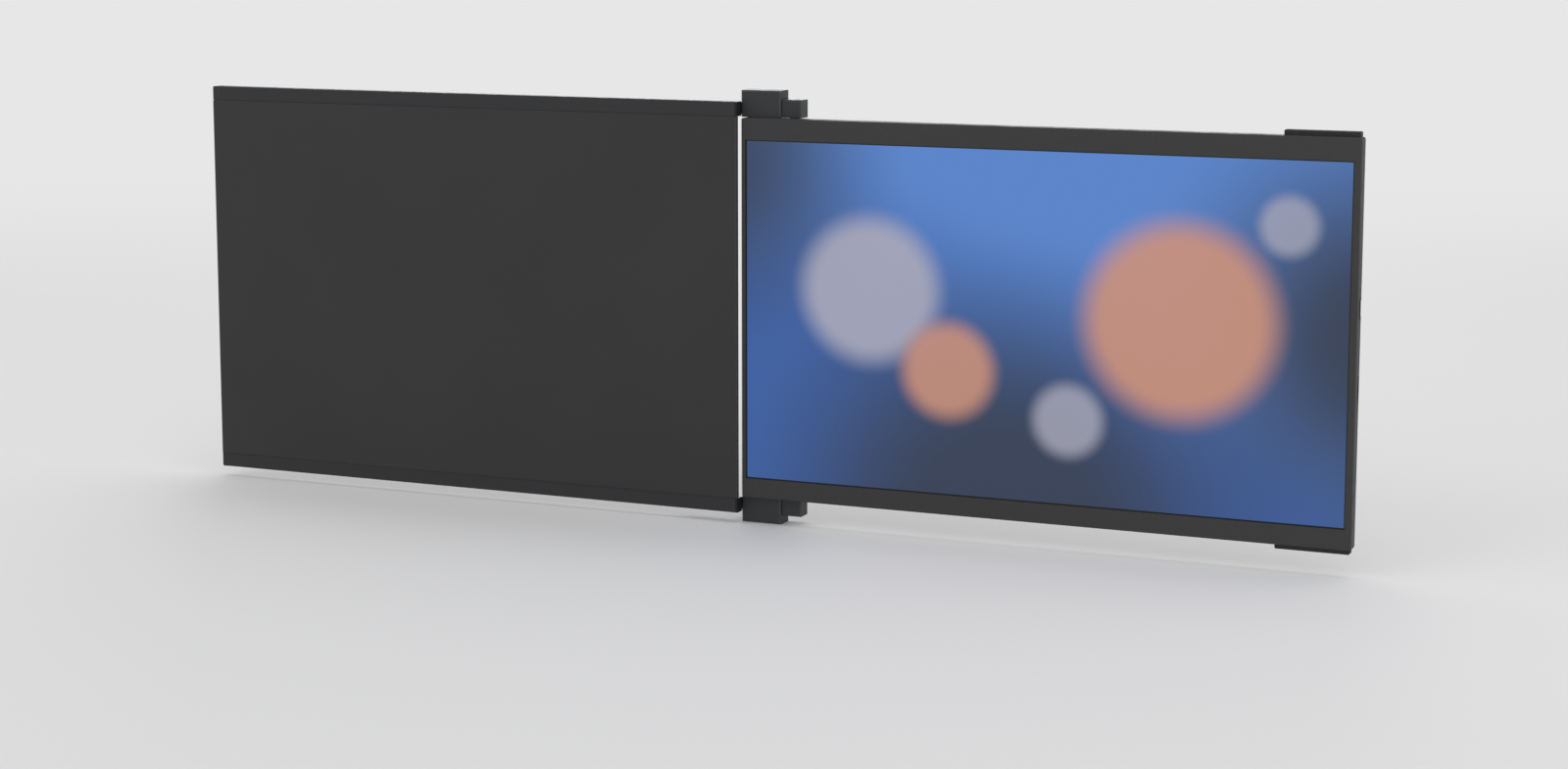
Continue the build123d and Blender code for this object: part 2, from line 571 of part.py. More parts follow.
def upper_hinge_block():
    block = brick((BLOCK_LEFT, BLOCK_RIGHT), (BLOCK_FRONT, BLOCK_BACK), (BLOCK_BOTTOM, BLOCK_TOP))
    front = edges_at(block, Axis.Y, BLOCK_FRONT)
    low = edges_at(block, Axis.Z, BLOCK_BOTTOM)
    block = chamfer(front - low, BLOCK_CHAMFER)
    rest = edges_at(block, Axis.Y, BLOCK_BACK)
    block = chamfer(rest, BLOCK_EDGE)
    block -= brick(
        (BLOCK_LEFT - PAST, YOKE_RIGHT + SHOE_FIT),
        (YOKE_FRONT - SCREW_FIT, YOKE_BACK + SCREW_FIT),
        about(GROOVE_Z, YOKE_ARM_HEIGHT + 2 * SHOE_FIT),
    )
    block -= brick(
        (TONGUE_LEFT - SCREW_FIT, BLOCK_RIGHT + PAST),
        about(HINGE_Y, TONGUE_DEPTH + 2 * SCREW_FIT),
        about(GROOVE_Z, TONGUE_HEIGHT + 2 * SCREW_FIT),
    )
    for x in BLOCK_SCREWS_X:
        seat = BLOCK_BACK - BLOCK_HEAD_DROP - MEDIUM_HEAD_HEIGHT
        block -= rod_y(x, (seat, BLOCK_BACK + PAST), GROOVE_Z, MEDIUM_HEAD_RADIUS + HEAD_FIT)
        block -= rod_y(x, (YOKE_BACK, BLOCK_BACK), GROOVE_Z, MEDIUM_HOLE)
    seat = BLOCK_BACK - BLOCK_HEAD_DROP - SMALL_HEAD_HEIGHT
    block -= rod_y(TONGUE_SCREW_X, (seat, BLOCK_BACK + PAST), GROOVE_Z, SMALL_HEAD_RADIUS + HEAD_FIT)
    block -= rod_y(TONGUE_SCREW_X, (HINGE_Y, BLOCK_BACK), GROOVE_Z, SMALL_HOLE)
    return block


def block_screws():
    back = BLOCK_BACK - BLOCK_HEAD_DROP
    places = [(x, side * GROOVE_Z) for x in BLOCK_SCREWS_X for side in (-1, 1)]
    return group(screw_y(x, z, back, MEDIUM, YOKE_FRONT) for x, z in places)


def upper_friction_housing():
    """Housing of the pin's spring stack, open towards the monitor, with a tongue in the hinge block."""
    housing = brick((HOUSING_LEFT, HOUSING_RIGHT), (HOUSING_FRONT, BLOCK_BACK), (BLOCK_BOTTOM, HOUSING_TOP))
    front = edges_at(housing, Axis.Y, HOUSING_FRONT)
    hidden = edges_at(housing, Axis.Z, BLOCK_BOTTOM) + edges_at(housing, Axis.X, HOUSING_LEFT)
    housing = chamfer(front - hidden, HOUSING_CHAMFER)
    right = edges_at(housing, Axis.Y, BLOCK_BACK) - edges_at(housing, Axis.X, HOUSING_LEFT)
    housing = chamfer(right, BLOCK_EDGE)
    housing += brick(
        (TONGUE_LEFT, HOUSING_LEFT),
        about(HINGE_Y, TONGUE_DEPTH),
        about(GROOVE_Z, TONGUE_HEIGHT),
    )
    housing -= rod_z(HINGE_X, HINGE_Y, (BLOCK_BOTTOM - PAST, HOUSING_TOP - HOUSING_ROOF), CAVITY_RADIUS)
    return housing - rod_y(TONGUE_SCREW_X, about(HINGE_Y, 2 * TONGUE_DEPTH), GROOVE_Z, SMALL_HOLE)


def housing_screws():
    back = BLOCK_BACK - BLOCK_HEAD_DROP
    front = HINGE_Y - TONGUE_DEPTH / 2
    return group(screw_y(TONGUE_SCREW_X, side * GROOVE_Z, back, SMALL, front) for side in (-1, 1))


def upper_bearing_plate():
    plate = rod_z(HINGE_X, HINGE_Y, (BLOCK_BOTTOM, BEARING_TOP), CAVITY_RADIUS - SCREW_FIT)
    plate -= rod_z(HINGE_X, HINGE_Y, (BLOCK_BOTTOM - PAST, BEARING_TOP + PAST), PIN_RADIUS + PIN_FIT)
    for side in (-1, 1):
        x = HINGE_X + side * (PIN_RADIUS + CAVITY_RADIUS) / 2
        depth = (BLOCK_BOTTOM - PAST, BLOCK_BOTTOM + BEARING_HOLE_DEPTH)
        plate -= rod_z(x, HINGE_Y, depth, BEARING_HOLE_RADIUS)
    return plate


# ---- Hinge pieces that turn with the monitor -------------------------------------------------------
def upper_pivot_pin():
    pin = rod_z(HINGE_X, HINGE_Y, (BARREL_BOTTOM, NUT_TOP + PIN_END), PIN_RADIUS)
    pin = chamfer(edges_at(pin, Axis.Z, NUT_TOP + PIN_END), PIN_CHAMFER)
    head = (BARREL_BOTTOM - PIN_HEAD_HEIGHT, BARREL_BOTTOM)
    return pin + rod_z(HINGE_X, HINGE_Y, head, PIN_HEAD_RADIUS)


def upper_thrust_washer():
    z = (BARREL_TOP + WASHER_CLEARANCE, BLOCK_BOTTOM - WASHER_CLEARANCE)
    washer = rod_z(HINGE_X, HINGE_Y, z, WASHER_RADIUS)
    return washer - rod_z(HINGE_X, HINGE_Y, (z[0] - PAST, z[1] + PAST), PIN_RADIUS + PIN_FIT)


def upper_disc_springs():
    """Cone washers, each standing on the one before."""
    inner, outer = PIN_RADIUS + PIN_FIT, SPRING_RADIUS
    springs = []
    for i in range(SPRING_COUNT):
        low = STACK_BOTTOM + i * (SPRING_THICKNESS + SPRING_CONE)
        rise_in = SPRING_CONE if i % 2 else 0
        rise_out = SPRING_CONE - rise_in
        section = Polyline(
            (inner, 0, low + rise_in),
            (outer, 0, low + rise_out),
            (outer, 0, low + rise_out + SPRING_THICKNESS),
            (inner, 0, low + rise_in + SPRING_THICKNESS),
            close=True,
        )
        springs.append(Pos(HINGE_X, HINGE_Y, 0) * revolve(make_face(section), Axis.Z))
    return group(springs)


def upper_pivot_nut():
    hexagon = RegularPolygon(NUT_FLATS / 2, 6, major_radius=False)
    nut = Pos(HINGE_X, HINGE_Y, NUT_BOTTOM) * extrude(hexagon, NUT_HEIGHT)
    return nut - rod_z(HINGE_X, HINGE_Y, (NUT_BOTTOM - PAST, NUT_TOP + PAST), PIN_RADIUS + PIN_FIT / 2)


def upper_hinge_leaf():
    """Bracket inside the back cover; its neck passes the cover's notch and carries the barrel."""
    leaf = brick((LEAF_LEFT, LEAF_LEFT + LEAF_LENGTH), (LEAF_FRONT, LEAF_BACK), (LEAF_BOTTOM, LEAF_TOP))
    leaf = fillet(leaf.edges().filter_by(Axis.Y), LEAF_CORNER_RADIUS)
    leaf += brick(about(HINGE_X, NECK_WIDTH), (LEAF_FRONT, HINGE_Y), (BARREL_BOTTOM, LEAF_TOP))
    leaf += rod_z(HINGE_X, HINGE_Y, (BARREL_BOTTOM, BARREL_TOP), BARREL_RADIUS)
    leaf -= rod_z(HINGE_X, HINGE_Y, (BARREL_BOTTOM - PAST, BARREL_TOP + PAST), PIN_RADIUS + PIN_FIT)
    for x in LEAF_SCREWS_X:
        leaf -= rod_y(x, (LEAF_FRONT - PAST, LEAF_BACK + PAST), LEAF_MIDDLE, SMALL_HOLE)
    return leaf


def leaf_screws():
    front = LEAF_FRONT - SMALL_HEAD_HEIGHT
    end = COVER_INNER + COVER_SCREW_GRIP
    places = [(x, side * LEAF_MIDDLE) for x in LEAF_SCREWS_X for side in (-1, 1)]
    return group(screw_y(x, z, front, SMALL, end) for x, z in places)


# ---- Monitor -------------------------------------------------------------------------------------
def window(y):
    return brick(WINDOW_X, y, WINDOW_Z)


def front_bezel():
    """Frame with the picture's window, a narrower layer behind it, and posts for the cover's screws."""
    edge = MONITOR_EDGE
    bezel = brick((MONITOR_LEFT, MONITOR_RIGHT), (MONITOR_FRONT, BEZEL_BACK), (-edge, edge))
    bezel = fillet(bezel.edges().filter_by(Axis.Y), MONITOR_CORNER_RADIUS)
    bezel = fillet(edges_at(bezel, Axis.Y, MONITOR_FRONT), BEZEL_EDGE)
    bezel -= window((MONITOR_FRONT - PAST, BEZEL_BACK + PAST))
    seam = brick(
        (MONITOR_LEFT + SEAM_DEPTH, MONITOR_RIGHT - SEAM_DEPTH),
        (BEZEL_BACK, COVER_FRONT),
        (-edge + SEAM_DEPTH, edge - SEAM_DEPTH),
    )
    glass = brick(
        (GLASS_X[0] - SCREW_FIT, GLASS_X[1] + SCREW_FIT),
        (BEZEL_BACK - PAST, COVER_FRONT + PAST),
        (GLASS_Z[0] - SCREW_FIT, GLASS_Z[1] + SCREW_FIT),
    )
    bezel += seam - glass
    for x, z in COVER_SCREWS:
        bezel += rod_y(x, (BEZEL_BACK, COVER_INNER - SCREW_FIT), z, BOSS_RADIUS)
        bezel -= rod_y(x, (COVER_FRONT, COVER_INNER + PAST), z, SMALL_HOLE)
    return bezel


def rear_cover():
    """Shallow tray: its rim is the monitor's side, with the socket's recess and the keys' slot."""
    edge = MONITOR_EDGE
    cover = brick((MONITOR_LEFT, MONITOR_RIGHT), (COVER_FRONT, MONITOR_BACK), (-edge, edge))
    cover = fillet(cover.edges().filter_by(Axis.Y), MONITOR_CORNER_RADIUS)
    cover = fillet(edges_at(cover, Axis.Y, MONITOR_BACK), COVER_EDGE)
    inside = (COVER_FRONT - PAST, COVER_INNER)
    cover -= brick((MONITOR_LEFT + COVER_RIM, RIM_INNER_X), inside, (-RIM_INNER_Z, RIM_INNER_Z))
    notch = about(HINGE_X, NECK_WIDTH + 2 * NOTCH_CLEARANCE)
    for side in (-1, 1):
        z = sorted((side * (BARREL_BOTTOM - PIN_HEAD_HEIGHT - NOTCH_CLEARANCE), side * (edge + PAST)))
        cover -= brick(notch, (COVER_INNER, MONITOR_BACK + PAST), z)
        low = edge - BUMPER_SEAT
        seat = sorted((side * low, side * (edge + PAST)))
        cover -= brick(
            (BUMPER_LEFT - SCREW_FIT, BUMPER_RIGHT + SCREW_FIT),
            (BUMPER_FRONT - SCREW_FIT, BUMPER_FRONT + BUMPER_DEPTH + SCREW_FIT),
            seat,
        )
        for x in BUMPER_PEG_CENTRES:
            peg = sorted((side * (RIM_INNER_Z - PAST), side * (edge + PAST)))
            cover -= rod_z(x, BUMPER_FRONT + BUMPER_DEPTH / 2, peg, BUMPER_PEG_RADIUS + SCREW_FIT)
        for x in LEAF_SCREWS_X:
            hole = (COVER_INNER - PAST, COVER_INNER + COVER_HOLE_DEPTH)
            cover -= rod_y(x, hole, side * LEAF_MIDDLE, SMALL_HOLE)
    through = (RIM_INNER_X - PAST, MONITOR_RIGHT + PAST)
    cover -= slot_x(
        (RECESS_FLOOR, MONITOR_RIGHT + PAST),
        PORT_Y,
        PORT_HEIGHT,
        PORT_LENGTH + 2 * PORT_RECESS_RIM,
        PORT_WIDTH + 2 * PORT_RECESS_RIM,
    )
    cover -= slot_x(through, PORT_Y, PORT_HEIGHT, PORT_LENGTH + 2 * PORT_FIT, PORT_WIDTH + 2 * PORT_FIT)
    pair = 2 * KEY_LENGTH + KEY_SPLIT
    cover -= slot_x(through, PORT_Y, KEY_HEIGHT, pair + 2 * KEY_FIT, KEY_WIDTH + 2 * KEY_FIT)
    back = (COVER_INNER - PAST, MONITOR_BACK + PAST)
    cover -= rod_y(POWER_X, back, POWER_HEIGHT, POWER_RADIUS + KEY_FIT)
    for x, z in COVER_SCREWS:
        cover -= rod_y(x, back, z, SMALL_HOLE)
        cover -= sink_cone(x, z, HEAD_FIT)
    for x, z in STANDOFFS:
        cover += rod_y(x, (BOARD_BACK, COVER_INNER), z, STANDOFF_RADIUS)
        cover -= rod_y(x, (BOARD_BACK - PAST, COVER_INNER + COVER_HOLE_DEPTH), z, SMALL_HOLE)
    return cover


def sink_cone(x, z, clearance):
    """Countersunk head at the back face; with a clearance it is the hole's sink."""
    wide = SMALL_HEAD_RADIUS + clearance
    cone = Cone(SMALL_RADIUS + clearance, wide, SINK_DEPTH)
    return Pos(x, MONITOR_BACK - SINK_DEPTH / 2, z) * Rot(-90, 0, 0) * cone


def cover_screws():
    screws = []
    for x, z in COVER_SCREWS:
        shank = (COVER_FRONT + COVER_SCREW_TIP, MONITOR_BACK - SINK_DEPTH)
        screw = sink_cone(x, z, 0) + rod_y(x, shank, z, SMALL_RADIUS)
        screws.append(screw - Pos(x, MONITOR_BACK, z) * drive(SMALL_HEAD_RADIUS, SINK_DEPTH / 2))
    return group(screws)


def panel_tape():
    tape = brick(GLASS_X, (BEZEL_BACK, GLASS_FRONT), GLASS_Z)
    return tape - window((BEZEL_BACK - PAST, GLASS_FRONT + PAST))


def display_panel():
    return brick(GLASS_X, (GLASS_FRONT, GLASS_BACK), GLASS_Z)


def backlight_unit():
    inset = BACKLIGHT_INSET
    unit = brick(
        (GLASS_X[0] + inset, GLASS_X[1] - inset),
        (GLASS_BACK, BACKLIGHT_BACK),
        (GLASS_Z[0] + inset, GLASS_Z[1] - inset),
    )
    return chamfer(edges_at(unit, Axis.Y, BACKLIGHT_BACK), BACKLIGHT_EDGE)


def foam_blocks():
    """Pads that press the backlight against the bezel, clear of the leaves and the board."""
    left = LEAF_LEFT + LEAF_LENGTH
    span = BOARD_LEFT - left
    blocks = []
    for column in FOAM_COLUMNS:
        for row in FOAM_ROWS:
            x = about(left + column * span, FOAM_LENGTH)
            blocks.append(brick(x, (BACKLIGHT_BACK, COVER_INNER), about(row * SCREEN_HEIGHT, FOAM_HEIGHT)))
    return group(blocks)


def upper_stop_bumper():
    """Dark strip that meets the rail's end when the monitor is slid in."""
    y = (BUMPER_FRONT, BUMPER_FRONT + BUMPER_DEPTH)
    top = MONITOR_EDGE + BUMPER_HEIGHT
    bumper = brick((BUMPER_LEFT, BUMPER_RIGHT), y, (MONITOR_EDGE - BUMPER_SEAT, top))
    bumper = chamfer(edges_at(bumper, Axis.Z, top), BUMPER_EDGE)
    for x in BUMPER_PEG_CENTRES:
        peg = (RIM_INNER_Z, MONITOR_EDGE - BUMPER_SEAT)
        bumper += rod_z(x, sum(y) / 2, peg, BUMPER_PEG_RADIUS)
    return bumper


# ---- Electronics ---------------------------------------------------------------------------------
def controller_board():
    board = brick((BOARD_LEFT, BOARD_RIGHT), (BOARD_FRONT, BOARD_BACK), (BOARD_BOTTOM, BOARD_TOP))
    board = fillet(board.edges().filter_by(Axis.Y), BOARD_CORNER_RADIUS)
    through = (BOARD_FRONT - PAST, BOARD_BACK + PAST)
    notch = about(PORT_HEIGHT, PORT_LENGTH + 2 * BOARD_NOTCH)
    board -= brick((PORT_LEFT - BOARD_NOTCH, BOARD_RIGHT + PAST), through, notch)
    for z in KEY_CENTRES.values():
        notch = about(z, SWITCH_LENGTH + 2 * BOARD_NOTCH)
        board -= brick((SWITCH_RIGHT - SWITCH_DEPTH - BOARD_NOTCH, BOARD_RIGHT + PAST), through, notch)
    for x, z in STANDOFFS:
        board -= rod_y(x, through, z, SMALL_HOLE)
    return board


def board_screws():
    front = BOARD_FRONT - SMALL_HEAD_HEIGHT
    return group(screw_y(x, z, front, SMALL, COVER_INNER + COVER_SCREW_GRIP) for x, z in STANDOFFS)


def board_chips():
    """Scaler, memory, inductor and the ribbon's connector, on the board's front."""
    y = (BOARD_FRONT - CHIP_HEIGHT, BOARD_FRONT)
    return group(
        brick(about(BOARD_LEFT + place, length), y, about(z, height)) for place, z, length, height in CHIPS
    )


def panel_ribbon():
    """Flat flexible cable along the backlight's back to its connector on the board."""
    y = (BACKLIGHT_BACK + RIBBON_GAP, BACKLIGHT_BACK + RIBBON_GAP + RIBBON_THICKNESS)
    right = BOARD_LEFT + RIBBON_ON_BOARD
    return brick((right - RIBBON_LENGTH, right), y, about(RIBBON_HEIGHT, RIBBON_WIDTH))


def usb_c_port():
    """Steel shell, open to the right."""
    shell = slot_x((PORT_LEFT, PORT_RIGHT), PORT_Y, PORT_HEIGHT, PORT_LENGTH, PORT_WIDTH)
    inside = (PORT_LEFT + PORT_FLOOR, PORT_RIGHT + PAST)
    length, width = PORT_LENGTH - 2 * PORT_WALL, PORT_WIDTH - 2 * PORT_WALL
    return shell - slot_x(inside, PORT_Y, PORT_HEIGHT, length, width)


def usb_c_tongue():
    left = PORT_LEFT + PORT_FLOOR
    y = about(PORT_Y, TONGUE_PLATE)
    return brick((left, left + TONGUE_PLATE_REACH), y, about(PORT_HEIGHT, TONGUE_PLATE_WIDTH))


def side_key(z):
    """Cap in the slot, flange inside the rim, and a plunger towards its switch."""
    length = about(z, KEY_LENGTH)
    cap = brick((KEY_FLANGE_OUTER, KEY_OUTER), about(PORT_Y, KEY_WIDTH), length)
    outward = length[1] if z > KEY_HEIGHT else length[0]
    cap = fillet(edges_at(cap, Axis.Z, outward, Axis.X), KEY_WIDTH / 2 - KEY_EDGE)
    cap = chamfer(edges_at(cap, Axis.X, KEY_OUTER), KEY_EDGE)
    rim = about(PORT_Y, KEY_WIDTH + 2 * KEY_FLANGE_RIM)
    flange = brick((KEY_FLANGE_INNER, KEY_FLANGE_OUTER), rim, length)
    plunger = rod_x((NUB_RIGHT + KEY_TRAVEL, KEY_FLANGE_INNER), PORT_Y, z, KEY_PLUNGER_RADIUS)
    return cap + flange + plunger


def power_key():
    top = MONITOR_BACK + POWER_PROUD
    cap = rod_y(POWER_X, (POWER_FLANGE_FRONT, top), POWER_HEIGHT, POWER_RADIUS)
    cap = fillet(edges_at(cap, Axis.Y, top), POWER_EDGE)
    flange = (POWER_FLANGE_FRONT, POWER_FLANGE_BACK)
    return cap + rod_y(POWER_X, flange, POWER_HEIGHT, POWER_RADIUS + POWER_FLANGE_RIM)


def tact_switches():
    """Side switches in the board's notches, and one behind the power key."""
    switches = []
    for z in KEY_CENTRES.values():
        depth = (SWITCH_RIGHT - SWITCH_DEPTH, SWITCH_RIGHT)
        body = brick(depth, about(PORT_Y, SWITCH_WIDTH), about(z, SWITCH_LENGTH))
        switches.append(body + rod_x((SWITCH_RIGHT, NUB_RIGHT), PORT_Y, z, KEY_PLUNGER_RADIUS))
    x, z = about(POWER_X, POWER_SWITCH_SIDE), about(POWER_HEIGHT, POWER_SWITCH_SIDE)
    switches.append(brick(x, (BOARD_BACK, POWER_SWITCH_BACK), z))
    return group(switches)


# ---- Nodes ---------------------------------------------------------------------------------------
PAIRS = {
    "rail": upper_rail,
    "glide_shoes": upper_glide_shoes,
    "hinge_block": upper_hinge_block,
    "friction_housing": upper_friction_housing,
    "bearing_plate": upper_bearing_plate,
    "pivot_pin": upper_pivot_pin,
    "thrust_washer": upper_thrust_washer,
    "disc_springs": upper_disc_springs,
    "pivot_nut": upper_pivot_nut,
    "hinge_leaf": upper_hinge_leaf,
    "stop_bumper": upper_stop_bumper,
}
SINGLES = [
    front_plate,
    end_wall,
    end_screws,
    bond_strips,
    glide_tapes,
    slide_yoke,
    shoe_screws,
    block_screws,
    housing_screws,
    leaf_screws,
    front_bezel,
    rear_cover,
    cover_screws,
    panel_tape,
    display_panel,
    backlight_unit,
    foam_blocks,
    controller_board,
    board_screws,
    board_chips,
    panel_ribbon,
    usb_c_port,
    usb_c_tongue,
    power_key,
    tact_switches,
]


def nodes():
    """Every node's name and shape."""
    shapes = {make.__name__: make() for make in SINGLES}
    for name, make in PAIRS.items():
        upper = make()
        shapes[f"upper_{name}"] = upper
        shapes[f"lower_{name}"] = mirror(upper, about=Plane.XY)
    cap = upper_rail_cap()
    shapes["rail_caps"] = group([cap, mirror(cap, about=Plane.XY)])
    cover_front = PLATE_THICKNESS - MAGNET_COVER
    magnet_back = cover_front - SCREW_FIT
    shapes["mounting_magnets"] = magnet_discs(magnet_back - MAGNET_THICKNESS, magnet_back)
    shapes["magnet_covers"] = magnet_discs(cover_front, PLATE_THICKNESS)
    for name, z in KEY_CENTRES.items():
        shapes[name] = side_key(z)
    return shapes


os.makedirs("parts", exist_ok=True)
for node, shape in nodes().items():
    export_step(shape, f"parts/{node}.step")
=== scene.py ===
import json
import math

import bmesh
import bpy
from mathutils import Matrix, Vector


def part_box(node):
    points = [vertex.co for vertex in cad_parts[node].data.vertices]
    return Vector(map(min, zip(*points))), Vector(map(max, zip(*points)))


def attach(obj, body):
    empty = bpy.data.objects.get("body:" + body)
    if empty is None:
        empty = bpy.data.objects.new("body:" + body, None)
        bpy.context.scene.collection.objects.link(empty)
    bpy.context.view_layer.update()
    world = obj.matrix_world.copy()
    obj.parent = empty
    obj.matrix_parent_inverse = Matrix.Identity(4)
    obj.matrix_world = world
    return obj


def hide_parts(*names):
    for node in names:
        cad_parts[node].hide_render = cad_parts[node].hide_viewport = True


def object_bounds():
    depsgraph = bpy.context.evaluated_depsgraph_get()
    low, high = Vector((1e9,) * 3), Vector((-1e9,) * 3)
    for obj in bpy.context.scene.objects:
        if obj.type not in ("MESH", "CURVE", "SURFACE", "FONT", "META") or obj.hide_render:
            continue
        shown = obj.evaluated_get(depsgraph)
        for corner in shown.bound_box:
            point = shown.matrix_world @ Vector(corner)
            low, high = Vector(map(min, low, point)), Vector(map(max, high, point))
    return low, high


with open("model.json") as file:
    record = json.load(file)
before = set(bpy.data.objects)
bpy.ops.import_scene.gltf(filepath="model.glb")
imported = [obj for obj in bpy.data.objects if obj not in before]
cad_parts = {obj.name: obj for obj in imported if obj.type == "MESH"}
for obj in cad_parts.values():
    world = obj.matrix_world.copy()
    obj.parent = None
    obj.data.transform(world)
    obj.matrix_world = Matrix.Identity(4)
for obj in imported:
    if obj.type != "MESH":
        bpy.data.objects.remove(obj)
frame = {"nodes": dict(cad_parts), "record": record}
CAD_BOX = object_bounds()
NODES = frame["nodes"]
RECORD_COLOURS = {m["slot"]: tuple(m["base_color"][:3]) for m in frame["record"]["materials"]}

bl_info = {
    "name": "Laptop screen extender",
    "version": (1, 0, 0),
    "blender": (4, 5, 0),
    "location": "View3D > Sidebar > Extender",
    "description": "Visible pieces and finishes of a slide-out screen extender, and its stage",
    "category": "Object",
}

MM = 0.001
FACING = 0.99  # least part of a unit normal along a direction, for a face that looks that way
SMOOTH_BELOW = math.radians(30)  # turn between two faces

# Contacts of the socket
CONTACT_ROWS = 12
CONTACT_SIZE = (4.0 * MM, 0.05 * MM, 0.25 * MM)
CONTACT_SETBACK = 0.3 * MM  # from the tongue's end
CONTACT_RISE = 0.015 * MM  # of its middle, above the tongue's face
CONTACT_BEVEL = 0.02 * MM

# Marks on the keys
MARK_ROOT = 1.4  # what a mark is let into its key, as a multiple of what stands out
MARK_WIDTH = 0.24 * MM
MARK_ARM = 0.53 * MM  # from the side of the middle to the tip
MARK_BEVEL = 0.04 * MM
MARK_LIGHTER = 6  # times the key's colour
RING_RADIUS = 1.5 * MM
RING_SECTION = 0.13 * MM  # radius of the ring's round section
RING_OPENING = 0.55 * MM  # half of it
STEM_WIDTH = 0.26 * MM
STEM_START = 0.9 * MM  # above the ring's centre
STEM_LENGTH = 1.2 * MM

# Finishes
EDGE_SAMPLES = 4
EDGE_TURN = (0.995, 0.80)  # cosines of the turn at which edge wear and the painted edge highlight start and are full
HANDLED = (0.35, 0.6)  # stretch of a noise over which handling grows
HANDLED_LEAST = 0.2
NOISE_BODY = (0.3, 0.7)  # where most of a pattern's values lie
BUMP_STRENGTH = 0.6
SCREW_EDGE = 0.4  # of the softness on larger pieces

# Generic picture, measured from its centre in picture heights. A disc has a colour, a place
# across and up, a radius, a blur to both sides of its rim, and a share that it covers.
SLOPE_ACROSS, SLOPE_UP, SLOPE_SWAY = 0.30, 0.95, 0.5
SLOPE_RANGE = (-0.05, 0.55)
DISCS = (
    ("slate", -0.08, -0.60, 0.58, 0.34, 1.0),
    ("slate", 0.98, 0.02, 0.44, 0.34, 1.0),
    ("slate", -0.98, 0.46, 0.36, 0.28, 0.9),
    ("pale", -0.50, 0.08, 0.205, 0.050, 0.88),
    ("peach", -0.26, -0.14, 0.135, 0.040, 0.85),
    ("peach", 0.42, 0.04, 0.270, 0.060, 0.92),
    ("pale", 0.10, -0.26, 0.100, 0.032, 0.75),
    ("pale", 0.72, 0.32, 0.080, 0.028, 0.7),
)

# Stage
STAGE_CENTRE = Vector((0.15, 0.0, 0.0))  # near the middle of the part at rest
FLOOR_SIZE = 60.0
PAPER_ENDS = (0.6, 2.0)  # distances over which the paper turns into the backdrop
LIGHTS = {  # place, width and height, power in watts
    "front_light": ((-0.9, -1.9, 1.5), (1.6, 1.0), 5.0),
    "low_light": ((2.0, -2.0, 0.15), (1.4, 0.5), 25.0),
    "left_light": ((-2.2, -0.8, 0.2), (1.0, 0.5), 5.0),
    "right_light": ((2.4, -0.2, 0.4), (1.0, 0.8), 5.0),
    "top_light": ((0.2, 0.2, 1.8), (2.4, 1.2), 8.0),
    "back_light": ((-1.3, 3.9, 0.5), (2.4, 0.8), 45.0),
}
CAMERA_PLACE = (0.7098, -1.2460, 0.1969)
CAMERA_SHIFT = -0.06
CAMERA_NEAR = 0.01
SENSOR_WIDTH = 36.0


# ---- Settings ------------------------------------------------------------------------------------
def colour(name, description, default):
    return bpy.props.FloatVectorProperty(
        name=name, description=description, default=default, size=3, min=0.0, max=1.0, subtype="COLOR"
    )


def length(name, description, default):
    return bpy.props.FloatProperty(
        name=name, description=description, default=default, min=0.0, subtype="DISTANCE", unit="LENGTH"
    )


def share(name, description, default):
    return bpy.props.FloatProperty(
        name=name, description=description, default=default, min=0.0, max=1.0, subtype="FACTOR"
    )


def angle(name, description, degrees):
    return bpy.props.FloatProperty(
        name=name, description=description, default=math.radians(degrees), subtype="ANGLE"
    )


class ExtenderColours(bpy.types.PropertyGroup):
    """Colours of the outer finishes."""

    plate: colour("Plate", "Anodised plate of the sleeve", (0.0302, 0.0302, 0.0302))
    rails: colour("Rails", "Anodised rails and end wall", (0.0274, 0.0278, 0.0292))
    casting: colour("Castings", "Paint on hinge blocks and friction housings", (0.0312, 0.0322, 0.0350))
    case: colour("Case", "Moulded bezel and back cover", (0.0346, 0.0346, 0.0346))
    bumper: colour("Bumpers", "Rubber of the stop bumpers", (0.0178, 0.0178, 0.0183))
    dark: colour("Dark plastic", "Caps, covers, shoes and the socket's tongue", (0.010, 0.010, 0.011))
    key: colour("Keys", "Moulded keys", (0.016, 0.016, 0.017))
    plated: colour("Plated sheet", "Black plating of yoke and leaves", (0.014, 0.014, 0.0155))
    screw: colour("Screws", "Black oxide", (0.020, 0.020, 0.021))


class ExtenderSizes(bpy.types.PropertyGroup):
    """Sizes of the modelled pieces."""

    screen_width: length("Picture width", "Lit width of the screen", 294.4 * MM)
    screen_height: length("Picture height", "Lit height of the screen", 165.6 * MM)
    border_side: length("Side border", "Black border left of the picture, on the glass", 1.0 * MM)
    border_bottom: length("Lower border", "Black border below the picture, on the glass", 5.0 * MM)
    glass_edge: length("Glass edge", "Ground edge of the glass", 0.15 * MM)
    edge_softness: length("Edge softness", "Radius that light sees on machined edges", 0.30 * MM)
    contact_pitch: length("Contact pitch", "Distance between the socket's contacts", 0.5 * MM)
    mark_height: length("Key mark height", "How far the marks stand out of the keys", 0.08 * MM)


class ExtenderPicture(bpy.types.PropertyGroup):
    """Colours of the generic picture on the screen."""

    blue: colour("Blue", "Lit part of the ground", (0.088, 0.216, 0.57))
    deep_blue: colour("Deep blue", "Shaded part of the ground", (0.036, 0.105, 0.34))
    slate: colour("Slate", "Dark part of the ground", (0.028, 0.043, 0.084))
    peach: colour("Peach", "Warm soft discs", (0.55, 0.262, 0.178))
    pale: colour("Pale", "Cool soft discs", (0.37, 0.375, 0.47))
    brightness: share("Brightness", "Light that the screen gives off", 1.0)


